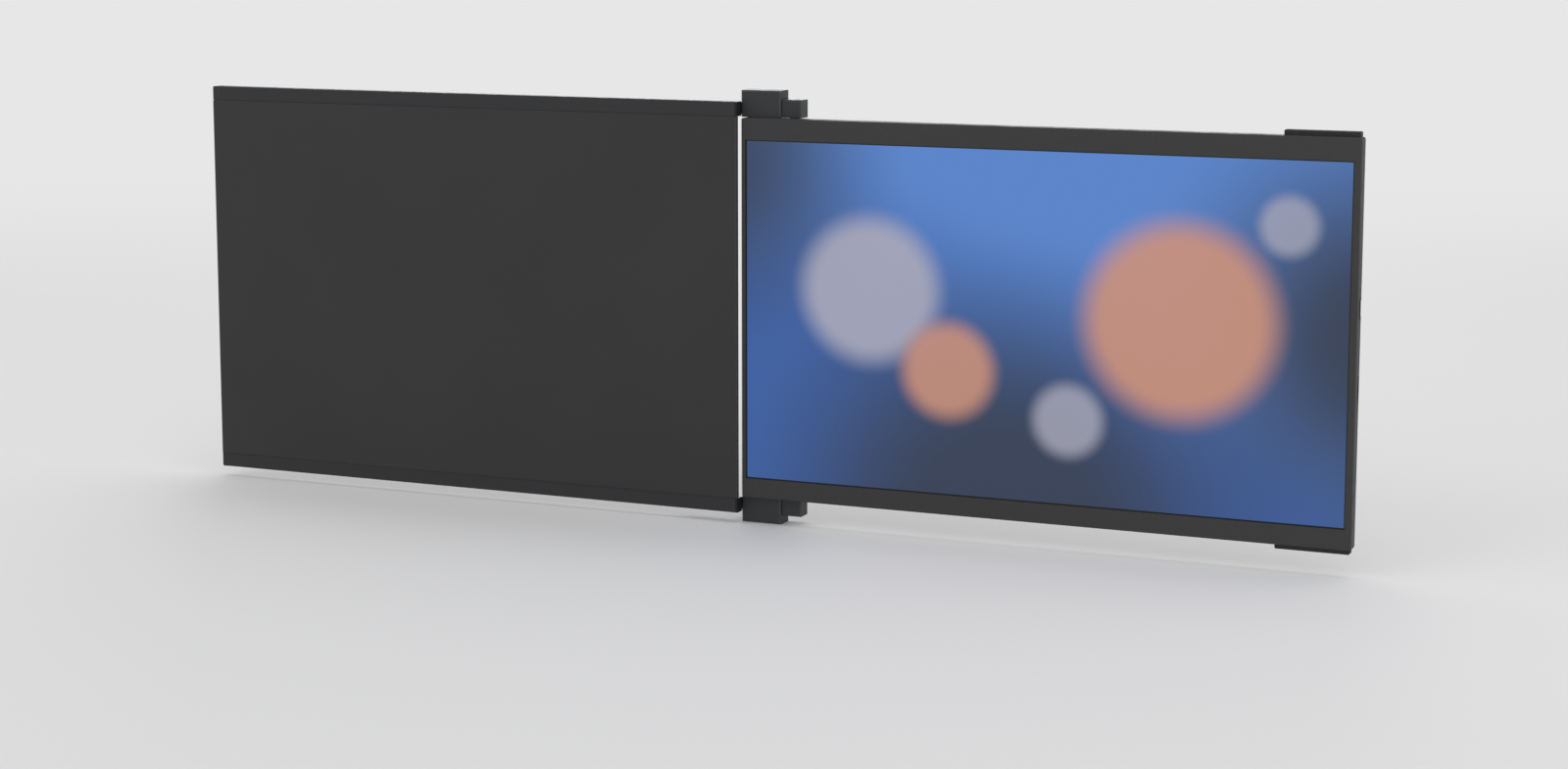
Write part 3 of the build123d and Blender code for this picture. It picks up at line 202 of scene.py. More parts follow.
class ExtenderStage(bpy.types.PropertyGroup):
    """Floor, lights and camera."""

    floor: colour("Floor", "Plain pale floor", (0.78, 0.78, 0.785))
    backdrop: colour("Backdrop", "Plain pale surroundings", (0.80, 0.80, 0.805))
    ambient: share("Ambient", "Even light from all around", 0.65)
    lens: bpy.props.FloatProperty(
        name="Lens", description="Focal length of the camera", default=65.03, min=10.0, unit="CAMERA"
    )
    yaw: angle("Yaw", "Camera's turn to the left", 23.212)
    pitch: angle("Pitch", "Camera's tilt down", 7.817)


# ---- Shader helpers ------------------------------------------------------------------------------
def shaded(base, times):
    """A colour made darker or lighter."""
    return tuple(min(c * times, 1.0) for c in base)


class Finish:
    """A material in the making: its node tree, its shader, and the patterns that feed it."""

    COLOUR_A, COLOUR_B, COLOUR_RESULT = 6, 7, 2  # a Mix node's sockets that hold colours

    def __init__(self, name, base, roughness, metallic=0.0, specular=0.5):
        self.material = bpy.data.materials.new(name)
        self.material.use_nodes = True
        self.material.diffuse_color = (*base, 1.0)
        self.tree = self.material.node_tree
        self.shader = self.tree.nodes["Principled BSDF"]
        self.base = base
        self.set("Base Color", (*base, 1.0))
        self.set("Roughness", roughness)
        self.set("Metallic", metallic)
        self.set("Specular IOR Level", specular)
        self.place = self.add("ShaderNodeTexCoord").outputs["Object"]

    def set(self, socket, value):
        """A number or colour that is the same all over the surface."""
        self.shader.inputs[socket].default_value = value

    def add(self, kind, **options):
        node = self.tree.nodes.new(kind)
        for key, value in options.items():
            setattr(node, key, value)
        return node

    def link(self, source, target):
        self.tree.links.new(source, target)

    def mapped(self, scale=(1, 1, 1), location=(0, 0, 0)):
        """The place on the piece, stretched and moved."""
        node = self.add("ShaderNodeMapping")
        node.inputs["Scale"].default_value = scale
        node.inputs["Location"].default_value = location
        self.link(self.place, node.inputs["Vector"])
        return node.outputs["Vector"]

    def noise(self, scale, detail=2.0, roughness=0.5, vector=None):
        node = self.add("ShaderNodeTexNoise")
        node.inputs["Scale"].default_value = scale
        node.inputs["Detail"].default_value = detail
        node.inputs["Roughness"].default_value = roughness
        self.link(vector or self.place, node.inputs["Vector"])
        return node.outputs["Fac"]

    def cells(self, scale):
        """Distance from the nearest of many scattered points."""
        node = self.add("ShaderNodeTexVoronoi", feature="F1")
        node.inputs["Scale"].default_value = scale
        self.link(self.place, node.inputs["Vector"])
        return node.outputs["Distance"]

    def waves(self, scale, direction, rings=False, distortion=0.0, vector=None):
        """Even bands across a direction, or rings round it."""
        node = self.add("ShaderNodeTexWave", wave_type="RINGS" if rings else "BANDS")
        if rings:
            node.rings_direction = direction
        else:
            node.bands_direction = direction
        node.inputs["Scale"].default_value = scale
        node.inputs["Distortion"].default_value = distortion
        self.link(vector or self.place, node.inputs["Vector"])
        return node.outputs["Fac"]

    def ranged(self, value, source, target=(0.0, 1.0), smooth=False):
        """Moves a value from one range into another and holds it there."""
        node = self.add("ShaderNodeMapRange")
        if smooth:
            node.interpolation_type = "SMOOTHSTEP"
        for socket, number in zip(("From Min", "From Max", "To Min", "To Max"), (*source, *target)):
            node.inputs[socket].default_value = number
        self.link(value, node.inputs["Value"])
        return node.outputs["Result"]

    def math(self, operation, first, second):
        """Each of the two values is a number or a node's output."""
        node = self.add("ShaderNodeMath", operation=operation)
        for socket, value in zip(node.inputs, (first, second)):
            if isinstance(value, bpy.types.NodeSocket):
                self.link(value, socket)
            else:
                socket.default_value = value
        return node.outputs["Value"]

    def blended(self, *parts):
        """Sum of patterns, each given with its weight."""
        total = None
        for pattern, weight in parts:
            part = self.math("MULTIPLY", pattern, weight)
            total = self.math("ADD", total, part) if total else part
        return total

    def mixed(self, factor, first, second):
        """Colour from first to second, each of them a colour or a node's output."""
        node = self.add("ShaderNodeMix", data_type="RGBA")
        self.link(factor, node.inputs["Factor"])
        for index, value in ((self.COLOUR_A, first), (self.COLOUR_B, second)):
            if isinstance(value, bpy.types.NodeSocket):
                self.link(value, node.inputs[index])
            else:
                node.inputs[index].default_value = (*value, 1.0)
        return node.outputs[self.COLOUR_RESULT]

    def paint(self, source):
        self.link(source, self.shader.inputs["Base Color"])

    def tint(self, factor, spread):
        """Base colour that runs from darker to lighter by a share of itself."""
        result = self.mixed(factor, shaded(self.base, 1 - spread), shaded(self.base, 1 + spread))
        self.paint(result)
        return result

    def roughen(self, value, low, high):
        """Roughness that follows a pattern from low to high."""
        self.link(self.ranged(value, NOISE_BODY, (low, high)), self.shader.inputs["Roughness"])

    def relief(self, *layers, edge=0.0):
        """Bump from (height, distance in metres) layers, over edges that light sees rounded."""
        normal = None
        if edge:
            bevel = self.add("ShaderNodeBevel", samples=EDGE_SAMPLES)
            bevel.inputs["Radius"].default_value = edge
            normal = bevel.outputs["Normal"]
        for height, distance in layers:
            bump = self.add("ShaderNodeBump")
            bump.inputs["Strength"].default_value = BUMP_STRENGTH
            bump.inputs["Distance"].default_value = distance
            self.link(height, bump.inputs["Height"])
            if normal:
                self.link(normal, bump.inputs["Normal"])
            normal = bump.outputs["Normal"]
        self.link(normal, self.shader.inputs["Normal"])

    def worn_and_highlit_edges(self, source, wear_and_highlight, radius, amount):
        """Lighter colour where the surface turns over an edge, broken up by handling."""
        bevel = self.add("ShaderNodeBevel", samples=EDGE_SAMPLES)
        bevel.inputs["Radius"].default_value = radius
        flat = self.add("ShaderNodeNewGeometry").outputs["Normal"]
        dot = self.add("ShaderNodeVectorMath", operation="DOT_PRODUCT")
        self.link(bevel.outputs["Normal"], dot.inputs[0])
        self.link(flat, dot.inputs[1])
        turned = self.ranged(dot.outputs["Value"], EDGE_TURN, (0.0, amount))
        handled = self.ranged(self.noise(700, detail=3.0), HANDLED, (HANDLED_LEAST, 1.0))
        # edges painted lighter: partly wear, partly a painted highlight on every turned edge
        self.paint(self.mixed(self.math("MULTIPLY", turned, handled), source, wear_and_highlight))


# ---- Finishes ------------------------------------------------------------------------------------
def blasted_anodising(name, base, edge):
    """Bead-blasted aluminium, dyed dark grey: fine even grain and faint clouding of the dye."""
    f = Finish(name, base, roughness=0.52, specular=0.19)
    grain = f.noise(5200, roughness=0.6)
    cloud = f.noise(14, detail=3.0)
    dyed = f.tint(f.blended((grain, 0.7), (cloud, 0.3)), spread=0.40)
    # edges painted lighter: wear and a painted highlight
    f.worn_and_highlit_edges(dyed, shaded(base, 3.4), radius=edge, amount=0.8)
    f.roughen(f.noise(60, detail=3.0), 0.46, 0.58)
    f.relief((grain, 0.02 * MM), edge=edge)
    return f.material


def drawn_anodising(name, base, edge):
    """Extruded aluminium: die lines along the slide under the same dye."""
    f = Finish(name, base, roughness=0.48, specular=0.19)
    lines = f.noise(1.0, detail=3.0, roughness=0.6, vector=f.mapped(scale=(6, 2600, 2600)))
    grain = f.noise(4800)
    dyed = f.tint(f.blended((lines, 0.6), (grain, 0.4)), spread=0.36)
    # edges painted lighter: wear and a painted highlight
    f.worn_and_highlit_edges(dyed, shaded(base, 3.4), radius=edge, amount=0.8)
    f.roughen(lines, 0.42, 0.54)
    f.relief((lines, 0.015 * MM), (grain, 0.012 * MM), edge=edge)
    return f.material


def cast_paint(name, base, edge):
    """Satin paint over die-cast metal: soft orange peel, a little shine on handled edges."""
    f = Finish(name, base, roughness=0.46, specular=0.20)
    peel = f.noise(1100)
    speck = f.cells(3600)
    paint = f.tint(f.blended((peel, 0.5), (speck, 0.5)), spread=0.30)
    # edges painted lighter: wear and a painted highlight
    f.worn_and_highlit_edges(paint, shaded(base, 3.6), radius=edge * 1.4, amount=0.85)
    f.roughen(f.noise(180, detail=3.0), 0.40, 0.52)
    f.relief((peel, 0.03 * MM), (speck, 0.008 * MM), edge=edge)
    return f.material


def moulded_grain(name, base, edge, grain=3600, roughness=(0.48, 0.60)):
    """Moulded plastic with a fine etched texture and faint flow marks."""
    f = Finish(name, base, roughness=roughness[0], specular=0.20)
    etched = f.cells(grain)
    flow = f.noise(9, detail=3.0, vector=f.mapped(scale=(1, 1, 3)))
    skin = f.tint(f.blended((etched, 0.7), (flow, 0.3)), spread=0.32)
    if edge:
        # edges painted lighter: wear and a painted highlight
        f.worn_and_highlit_edges(skin, shaded(base, 2.4), radius=edge, amount=0.5)
    f.roughen(f.noise(90, detail=3.0), *roughness)
    f.relief((etched, 0.02 * MM), edge=edge)
    return f.material


def black_acetal(name, base):
    """Machined bearing plastic with cutter lines and polished tracks."""
    f = Finish(name, base, roughness=0.34, specular=0.45)
    cutter = f.waves(900, "X", distortion=0.6)
    f.tint(f.noise(240, detail=3.0), spread=0.25)
    f.roughen(cutter, 0.28, 0.42)
    f.relief((cutter, 0.005 * MM))
    return f.material


def soft_rubber(name, base, edge):
    """Dull rubber with a talc-like bloom."""
    f = Finish(name, base, roughness=0.72, specular=0.25)
    f.set("Sheen Weight", 0.05)
    f.set("Sheen Roughness", 0.5)
    bloom = f.noise(160, detail=4.0, roughness=0.6)
    pores = f.cells(2600)
    f.tint(bloom, spread=0.22)
    f.roughen(bloom, 0.64, 0.80)
    f.relief((pores, 0.012 * MM), edge=edge)
    return f.material


def open_foam(name, base):
    """Open-cell foam."""
    f = Finish(name, base, roughness=0.95, specular=0.1)
    cells = f.cells(1300)
    f.tint(f.ranged(cells, (0.0, 0.6)), spread=0.45)
    f.relief((cells, 0.25 * MM), (f.noise(5200), 0.05 * MM))
    return f.material


def tape(name, base, roughness, fibre):
    """Thin tape with fibres or lay lines along the slide."""
    f = Finish(name, base, roughness, specular=0.35)
    lines = f.noise(1.0, detail=3.0, roughness=0.6, vector=f.mapped(scale=(40, fibre, fibre)))
    f.tint(lines, spread=0.22)
    f.roughen(lines, roughness - 0.06, roughness + 0.08)
    f.relief((lines, 0.012 * MM))
    return f.material


def black_plating(name, base, edge):
    """Rolled steel sheet, plated black: mottled crystals and a grey glint on cut edges."""
    f = Finish(name, base, roughness=0.38, metallic=0.5, specular=0.4)
    rolled = f.noise(1.0, roughness=0.6, vector=f.mapped(scale=(1800, 1800, 30)))
    mottle = f.noise(220, detail=4.0, roughness=0.65)
    plated = f.tint(f.blended((rolled, 0.4), (mottle, 0.6)), spread=0.35)
    # edges painted grey: bare steel and a painted highlight
    f.worn_and_highlit_edges(plated, (0.16, 0.16, 0.165), radius=edge, amount=0.35)
    f.roughen(mottle, 0.30, 0.46)
    f.relief((rolled, 0.006 * MM), (mottle, 0.01 * MM), edge=edge)
    return f.material


def black_oxide(name, base, edge):
    """Turned screws in black oxide, brighter where the driver has touched them."""
    f = Finish(name, base, roughness=0.34, metallic=0.7, specular=0.5)
    turned = f.noise(4200, detail=3.0, roughness=0.7)
    oxide = f.tint(turned, spread=0.4)
    f.worn_and_highlit_edges(oxide, (0.22, 0.22, 0.225), radius=edge, amount=0.6)
    f.roughen(f.noise(900), 0.26, 0.44)
    f.relief((turned, 0.006 * MM), edge=edge)
    return f.material


def ground_steel(name, base):
    """Ground steel, its marks running round the pins."""
    f = Finish(name, base, roughness=0.24, metallic=1.0)
    marks = f.noise(1.0, detail=3.0, roughness=0.7, vector=f.mapped(scale=(300, 300, 14000)))
    f.tint(marks, spread=0.14)
    f.roughen(marks, 0.17, 0.32)
    f.relief((marks, 0.003 * MM))
    return f.material


def turned_brass(name, base, centre):
    """Brass faced on a lathe: rings round a centre."""
    f = Finish(name, base, roughness=0.26, metallic=1.0)
    round_centre = f.mapped(location=(-centre.x, -centre.y, 0))
    rings = f.waves(2600, "Z", rings=True, distortion=0.3, vector=round_centre)
    f.tint(f.noise(500, detail=3.0), spread=0.12)
    f.roughen(rings, 0.18, 0.34)
    f.relief((rings, 0.004 * MM))
    return f.material


def nickel_plating(name, base):
    """Bright nickel over a sintered magnet, with small pits."""
    f = Finish(name, base, roughness=0.16, metallic=1.0)
    pits = f.cells(1500)
    f.tint(f.noise(350, detail=3.0), spread=0.07)
    f.roughen(f.noise(600, detail=3.0), 0.12, 0.24)
    f.relief((f.ranged(pits, (0.0, 0.25)), 0.008 * MM))
    return f.material


def brushed_sheet(name, base, roughness=(0.26, 0.40), brush=(20, 3200, 3200)):
    """Thin metal sheet, brushed in one direction."""
    f = Finish(name, base, roughness=roughness[0], metallic=1.0)
    brushed = f.noise(1.0, detail=4.0, roughness=0.65, vector=f.mapped(scale=brush))
    f.tint(brushed, spread=0.12)
    f.roughen(brushed, *roughness)
    f.relief((brushed, 0.004 * MM))
    return f.material


def solder_mask(name, base):
    """Circuit board: copper tracks showing lighter through the mask, and plated dots."""
    f = Finish(name, base, roughness=0.34)
    squares = f.add("ShaderNodeTexVoronoi", distance="MANHATTAN", feature="F1")
    squares.inputs["Scale"].default_value = 330
    f.link(f.place, squares.inputs["Vector"])
    tracks = f.ranged(f.waves(1.2, "X", vector=squares.outputs["Position"]), (0.4, 0.6))
    dots = f.ranged(f.cells(420), (0.10, 0.14), (1.0, 0.0))
    green = f.mixed(tracks, shaded(base, 0.8), shaded(base, 1.5))
    f.paint(f.mixed(dots, green, (0.55, 0.42, 0.20)))
    f.roughen(f.noise(500), 0.28, 0.42)
    f.relief((tracks, 0.02 * MM))
    return f.material


def chip_epoxy(name, base):
    """Matte epoxy packages with a fine filler grain."""
    f = Finish(name, base, roughness=0.6, specular=0.35)
    filler = f.noise(6500)
    f.tint(filler, spread=0.25)
    f.roughen(f.noise(300), 0.5, 0.68)
    f.relief((filler, 0.01 * MM))
    return f.material


def ribbon_film(name, base):
    """Amber film over a row of copper conductors that run along the ribbon."""
    f = Finish(name, base, roughness=0.28)
    rows = f.ranged(f.waves(320, "Z"), (0.35, 0.55))
    f.paint(f.mixed(rows, shaded(base, 0.55), shaded(base, 1.25)))
    f.roughen(f.noise(400), 0.20, 0.34)
    f.relief((rows, 0.02 * MM))
    return f.material


def gold_contacts(name):
    """Thin hard gold with wipe marks."""
    f = Finish(name, (0.82, 0.58, 0.24), roughness=0.22, metallic=1.0)
    wipes = f.noise(1.0, detail=3.0, roughness=0.6, vector=f.mapped(scale=(600, 9000, 9000)))
    f.tint(wipes, spread=0.12)
    f.roughen(wipes, 0.16, 0.30)
    f.relief((wipes, 0.002 * MM))
    return f.material


def black_border(name):
    """Ink behind the edge of the screen's glass, under the anti-glare film."""
    f = Finish(name, (0.012, 0.012, 0.0135), roughness=0.34, specular=0.3)
    film = f.noise(7000)
    f.tint(f.noise(40), spread=0.15)
    f.roughen(film, 0.30, 0.40)
    f.relief((film, 0.004 * MM))
    return f.material


def lit_picture(name, picture, centre, height):
    """Lit screen behind an anti-glare film: soft discs over a shaded ground."""
    f = Finish(name, (0.006, 0.006, 0.0065), roughness=0.36, specular=0.25)
    film = f.noise(7000)
    f.roughen(film, 0.32, 0.42)
    f.relief((film, 0.004 * MM))
    spot = f.mapped(
        scale=(1 / height, 0.0, 1 / height), location=(-centre.x / height, 0.0, -centre.z / height)
    )
    sway = f.noise(1.1, detail=1.0, roughness=0.4, vector=spot)
    axes = f.add("ShaderNodeSeparateXYZ")
    f.link(spot, axes.inputs["Vector"])
    slope = f.blended(
        (axes.outputs["X"], SLOPE_ACROSS), (axes.outputs["Z"], SLOPE_UP), (sway, SLOPE_SWAY)
    )
    lit = f.mixed(f.ranged(slope, SLOPE_RANGE, smooth=True), picture.deep_blue, picture.blue)
    for dye, across, up, radius, blur, cover in DISCS:
        distance = f.add("ShaderNodeVectorMath", operation="DISTANCE")
        f.link(spot, distance.inputs[0])
        distance.inputs[1].default_value = (across, 0.0, up)
        rim = (radius - blur, radius + blur)
        disc = f.ranged(distance.outputs["Value"], rim, (1.0, 0.0), smooth=True)
        lit = f.mixed(f.math("MULTIPLY", disc, cover), lit, getattr(picture, dye))
    f.link(lit, f.shader.inputs["Emission Color"])
    f.set("Emission Strength", picture.brightness)
    return f.material


# ---- Modelling helpers ---------------------------------------------------------------------------
def start(kind, name, location, **size):
    """A primitive at its size and place, alone in the selection."""
    bpy.ops.object.select_all(action="DESELECT")
    getattr(bpy.ops.mesh, f"primitive_{kind}_add")(location=location, **size)
    piece = bpy.context.object
    piece.name = piece.data.name = name
    return piece


def block(name, location, size):
    """A cube scaled to its size in the three directions."""
    piece = start("cube", name, location, size=1.0)
    piece.scale = size
    bpy.ops.object.transform_apply(location=False, rotation=False, scale=True)
    return piece


def select_faces(piece, test):
    """Selects the faces whose centre and normal pass the test, in edit mode."""
    bpy.ops.mesh.select_all(action="DESELECT")
    mesh = bmesh.from_edit_mesh(piece.data)
    found = [face for face in mesh.faces if test(face.calc_center_median(), face.normal)]
    if not found:
        raise RuntimeError(f"no face of {piece.name} passes the test")
    for face in found:
        face.select_set(True)
    mesh.select_flush_mode()
    bmesh.update_edit_mesh(piece.data)


def settled(piece):
    """Puts a piece's place into its mesh and smooths its shallow edges."""
    bpy.ops.object.select_all(action="DESELECT")
    piece.select_set(True)
    bpy.context.view_layer.objects.active = piece
    bpy.ops.object.transform_apply(location=True, rotation=True, scale=True)
    bpy.ops.object.shade_smooth_by_angle(angle=SMOOTH_BELOW)
    return piece


def joined(pieces, name):
    """One piece out of several."""
    bpy.ops.object.select_all(action="DESELECT")
    for piece in pieces:
        piece.select_set(True)
    bpy.context.view_layer.objects.active = pieces[0]
    bpy.ops.object.join()
    pieces[0].name = pieces[0].data.name = name
    return pieces[0]


def copied(piece, offset):
    """A copy with its own mesh, moved by an offset."""
    copy = piece.copy()
    copy.data = piece.data.copy()
    copy.location = piece.location + Vector(offset)
    bpy.context.scene.collection.objects.link(copy)
    return copy


def middle(node):
    """Middle of a CAD node's box."""
    low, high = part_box(node)
    return (low + high) / 2


def give(piece, *materials):
    """Replaces a piece's materials."""
    piece.data.materials.clear()
    for material in materials:
        piece.data.materials.append(material)


def dress(names, material):
    """Gives a material to carried-over nodes."""
    for name in names:
        give(NODES[name], material)


def pair(*names):
    """Upper and lower node of each name."""
    return [f"{side}_{name}" for name in names for side in ("upper", "lower")]


# ---- Pieces --------------------------------------------------------------------------------------
class EXTENDER_OT_screen(bpy.types.Operator):
    """Models the screen's glass, with its black border and lit picture"""

    bl_idname = "extender.screen"
    bl_label = "Screen glass"

    def execute(self, context):
        sizes = context.scene.extender_sizes
        low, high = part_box("display_panel")
        left, bottom = low.x + sizes.border_side, low.z + sizes.border_bottom
        right, top = left + sizes.screen_width, bottom + sizes.screen_height
        glass = block("screen_glass", (low + high) / 2, high - low)
        bpy.ops.object.mode_set(mode="EDIT")
        bpy.ops.mesh.select_all(action="SELECT")
        bpy.ops.mesh.bevel(offset=sizes.glass_edge, segments=2, affect="EDGES")
        for place, normal in (
            ((left, 0, 0), (1, 0, 0)), ((right, 0, 0), (1, 0, 0)),
            ((0, 0, bottom), (0, 0, 1)), ((0, 0, top), (0, 0, 1)),
        ):
            select_faces(glass, lambda spot, face: face.y < -FACING)
            bpy.ops.mesh.bisect(plane_co=place, plane_no=normal)
        bpy.ops.object.mode_set(mode="OBJECT")
        settled(glass)
        centre = Vector(((left + right) / 2, 0.0, (bottom + top) / 2))
        picture = lit_picture("screen_picture", context.scene.extender_picture, centre, sizes.screen_height)
        give(glass, black_border("screen_border"), picture)
        for face in glass.data.polygons:
            inside = left < face.center.x < right and bottom < face.center.z < top
            face.material_index = 1 if inside and face.normal.y < -FACING else 0
        if not any(face.material_index for face in glass.data.polygons):
            raise RuntimeError("the screen has no picture")
        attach(glass, "monitor")
        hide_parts("display_panel")
        return {"FINISHED"}


class EXTENDER_OT_contacts(bpy.types.Operator):
    """Models the gold contacts on both faces of the socket's tongue"""

    bl_idname = "extender.contacts"
    bl_label = "Socket contacts"

    def execute(self, context):
        pitch = context.scene.extender_sizes.contact_pitch
        low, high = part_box("usb_c_tongue")
        place = (high.x - CONTACT_SETBACK - CONTACT_SIZE[0] / 2, low.y - CONTACT_RISE, 0.0)
        first = block("contact", place, CONTACT_SIZE)
        bpy.ops.object.mode_set(mode="EDIT")
        select_faces(first, lambda spot, face: face.x > FACING)
        bpy.ops.mesh.bevel(offset=CONTACT_BEVEL, segments=2, affect="EDGES")
        bpy.ops.object.mode_set(mode="OBJECT")
        first.location.z = middle("usb_c_tongue").z - (CONTACT_ROWS - 1) / 2 * pitch
        across = high.y + CONTACT_RISE - first.location.y
        offsets = [(0, side, row * pitch) for row in range(CONTACT_ROWS) for side in (0, across)]
        strips = [first] + [copied(first, offset) for offset in offsets[1:]]
        contacts = settled(joined(strips, "socket_contacts"))
        give(contacts, gold_contacts("hard_gold"))
        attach(contacts, "monitor")
        return {"FINISHED"}


class EXTENDER_OT_key_marks(bpy.types.Operator):
    """Models the raised plus and minus on the side keys, and the broken ring on the power key"""

    bl_idname = "extender.key_marks"
    bl_label = "Key marks"

    def bar(self, name, centre, size, arms):
        """A rounded bar, with arms drawn out of its middle along the given directions."""
        mark = block(name, centre, size)
        bpy.ops.object.mode_set(mode="EDIT")
        near = min(size) / 4  # leaves out the ends and sides of other arms
        for arm in arms:
            way = arm.normalized()
            select_faces(mark, lambda spot, face: face.dot(way) > FACING and spot.cross(way).length < near)
            bpy.ops.mesh.extrude_region_move(TRANSFORM_OT_translate={"value": arm})
        bpy.ops.mesh.select_all(action="SELECT")
        bpy.ops.mesh.bevel(offset=MARK_BEVEL, segments=2, affect="EDGES")
        bpy.ops.object.mode_set(mode="OBJECT")
        return mark

    def side_marks(self, height, ink):
        """A plus and a minus, let into the outer faces of the side keys."""
        depth = (1 + MARK_ROOT) * height
        across = [Vector((0, -MARK_ARM, 0)), Vector((0, MARK_ARM, 0))]
        upright = [Vector((0, 0, -MARK_ARM)), Vector((0, 0, MARK_ARM))]
        for key, name, body, arms in (
            ("brightness_up_key", "plus_mark", "brightness_up", across + upright),
            ("brightness_down_key", "minus_mark", "brightness_down", across),
        ):
            centre = middle(key)
            centre.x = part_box(key)[1].x + height - depth / 2
            mark = settled(self.bar(name, centre, (depth, MARK_WIDTH, MARK_WIDTH), arms))
            give(mark, ink)
            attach(mark, body)

    def power_mark(self, ink):
        """A ring that is open at the top, with a stem in the opening."""
        centre = middle("power_key")
        centre.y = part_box("power_key")[1].y
        ring = start(
            "torus", "ring", centre, major_radius=RING_RADIUS, minor_radius=RING_SECTION,
            major_segments=48, minor_segments=10, rotation=(math.pi / 2, 0, 0),
        )
        bpy.ops.object.transform_apply(location=False, rotation=True, scale=False)
        bpy.ops.object.mode_set(mode="EDIT")
        select_faces(ring, lambda spot, face: spot.z > 0 and abs(spot.x) < RING_OPENING)
        bpy.ops.mesh.delete(type="FACE")
        bpy.ops.mesh.select_all(action="SELECT")
        bpy.ops.mesh.region_to_loop()
        bpy.ops.mesh.edge_face_add()
        bpy.ops.object.mode_set(mode="OBJECT")
        foot = centre + Vector((0, 0, STEM_START))
        stem = self.bar("stem", foot, (STEM_WIDTH,) * 3, [Vector((0, 0, STEM_LENGTH))])
        mark = settled(joined([ring, stem], "power_mark"))
        give(mark, ink)
        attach(mark, "power")

    def execute(self, context):
        pale = shaded(context.scene.extender_colours.key, MARK_LIGHTER)
        ink = moulded_grain("mark_plastic", pale, edge=0.0, grain=5200, roughness=(0.38, 0.48))
        self.side_marks(context.scene.extender_sizes.mark_height, ink)
        self.power_mark(ink)
        return {"FINISHED"}


# ---- Finishes on the carried-over nodes ----------------------------------------------------------
class EXTENDER_OT_sleeve(bpy.types.Operator):
    """Finishes the sleeve: plate, rails, end wall, caps, tapes and magnets"""

    bl_idname = "extender.sleeve"
    bl_label = "Sleeve finishes"

    def execute(self, context):
        colours = context.scene.extender_colours
        soft = context.scene.extender_sizes.edge_softness
        dark_plastic = moulded_grain("dark_plastic", colours.dark, soft, grain=4200, roughness=(0.40, 0.52))
        magnet_nickel = nickel_plating("magnet_nickel", RECORD_COLOURS["magnet_nickel"])
        adhesive_tape = tape("adhesive_tape", (0.02, 0.02, 0.02), roughness=0.55, fibre=1400)
        glide_tape = tape("glide_tape", (0.016, 0.016, 0.018), roughness=0.30, fibre=2600)
        dress(["front_plate"], blasted_anodising("plate_anodising", colours.plate, soft))
        dress(pair("rail") + ["end_wall"], drawn_anodising("rail_anodising", colours.rails, soft))
        dress(["rail_caps", "magnet_covers", "usb_c_tongue"], dark_plastic)
        dress(["mounting_magnets"], magnet_nickel)
        dress(["bond_strips", "panel_tape"], adhesive_tape)
        dress(["glide_tapes"], glide_tape)
        return {"FINISHED"}


class EXTENDER_OT_carriage(bpy.types.Operator):
    """Finishes the carriage: yoke, shoes, hinge blocks, friction housings and bearings"""

    bl_idname = "extender.carriage"
    bl_label = "Carriage finishes"

    def execute(self, context):
        colours = context.scene.extender_colours
        soft = context.scene.extender_sizes.edge_softness
        pin = middle("upper_pivot_pin")
        brass = turned_brass("turned_brass", RECORD_COLOURS["bearing_brass"], pin)
        steel = ground_steel("ground_steel", RECORD_COLOURS["pin_steel"])
        plating = black_plating("black_plating", colours.plated, soft)
        dress(pair("hinge_block", "friction_housing"), cast_paint("cast_paint", colours.casting, soft))
        dress(["slide_yoke"] + pair("hinge_leaf"), plating)
        dress(pair("glide_shoes", "thrust_washer"), black_acetal("black_acetal", colours.dark))
        dress(pair("bearing_plate"), brass)
        dress(pair("pivot_pin", "disc_springs", "pivot_nut"), steel)
        return {"FINISHED"}


class EXTENDER_OT_case(bpy.types.Operator):
    """Finishes the monitor's case, bumpers and keys"""

    bl_idname = "extender.case"
    bl_label = "Case finishes"

    def execute(self, context):
        colours = context.scene.extender_colours
        soft = context.scene.extender_sizes.edge_softness
        key_plastic = moulded_grain("key_plastic", colours.key, soft, grain=4600, roughness=(0.36, 0.46))
        dress(["front_bezel", "rear_cover"], moulded_grain("case_plastic", colours.case, soft))
        dress(pair("stop_bumper"), soft_rubber("bumper_rubber", colours.bumper, soft))
        dress(["brightness_up_key", "brightness_down_key", "power_key"], key_plastic)
        return {"FINISHED"}


class EXTENDER_OT_electronics(bpy.types.Operator):
    """Finishes what is inside the monitor, and its socket"""

    bl_idname = "extender.electronics"
    bl_label = "Electronics finishes"

    def execute(self, context):
        socket_steel = brushed_sheet(
            "socket_steel", RECORD_COLOURS["socket_steel"], roughness=(0.20, 0.32), brush=(60, 5200, 5200)
        )
        dress(["backlight_unit"], brushed_sheet("backlight_sheet", RECORD_COLOURS["panel_metal"]))
        dress(["usb_c_port"], socket_steel)
        dress(["foam_blocks"], open_foam("open_foam", (0.02, 0.02, 0.02)))
        dress(["controller_board"], solder_mask("solder_mask", (0.010, 0.060, 0.030)))
        dress(["board_chips", "tact_switches"], chip_epoxy("chip_epoxy", (0.013, 0.013, 0.014)))
        dress(["panel_ribbon"], ribbon_film("ribbon_film", (0.42, 0.20, 0.05)))
        return {"FINISHED"}


class EXTENDER_OT_screws(bpy.types.Operator):
    """Finishes all screws"""

    bl_idname = "extender.screws"
    bl_label = "Screw finishes"

    def execute(self, context):
        places = ("end", "shoe", "block", "housing", "leaf", "cover", "board")
        edge = context.scene.extender_sizes.edge_softness * SCREW_EDGE
        oxide = black_oxide("black_oxide", context.scene.extender_colours.screw, edge)
        dress([f"{place}_screws" for place in places], oxide)
        return {"FINISHED"}


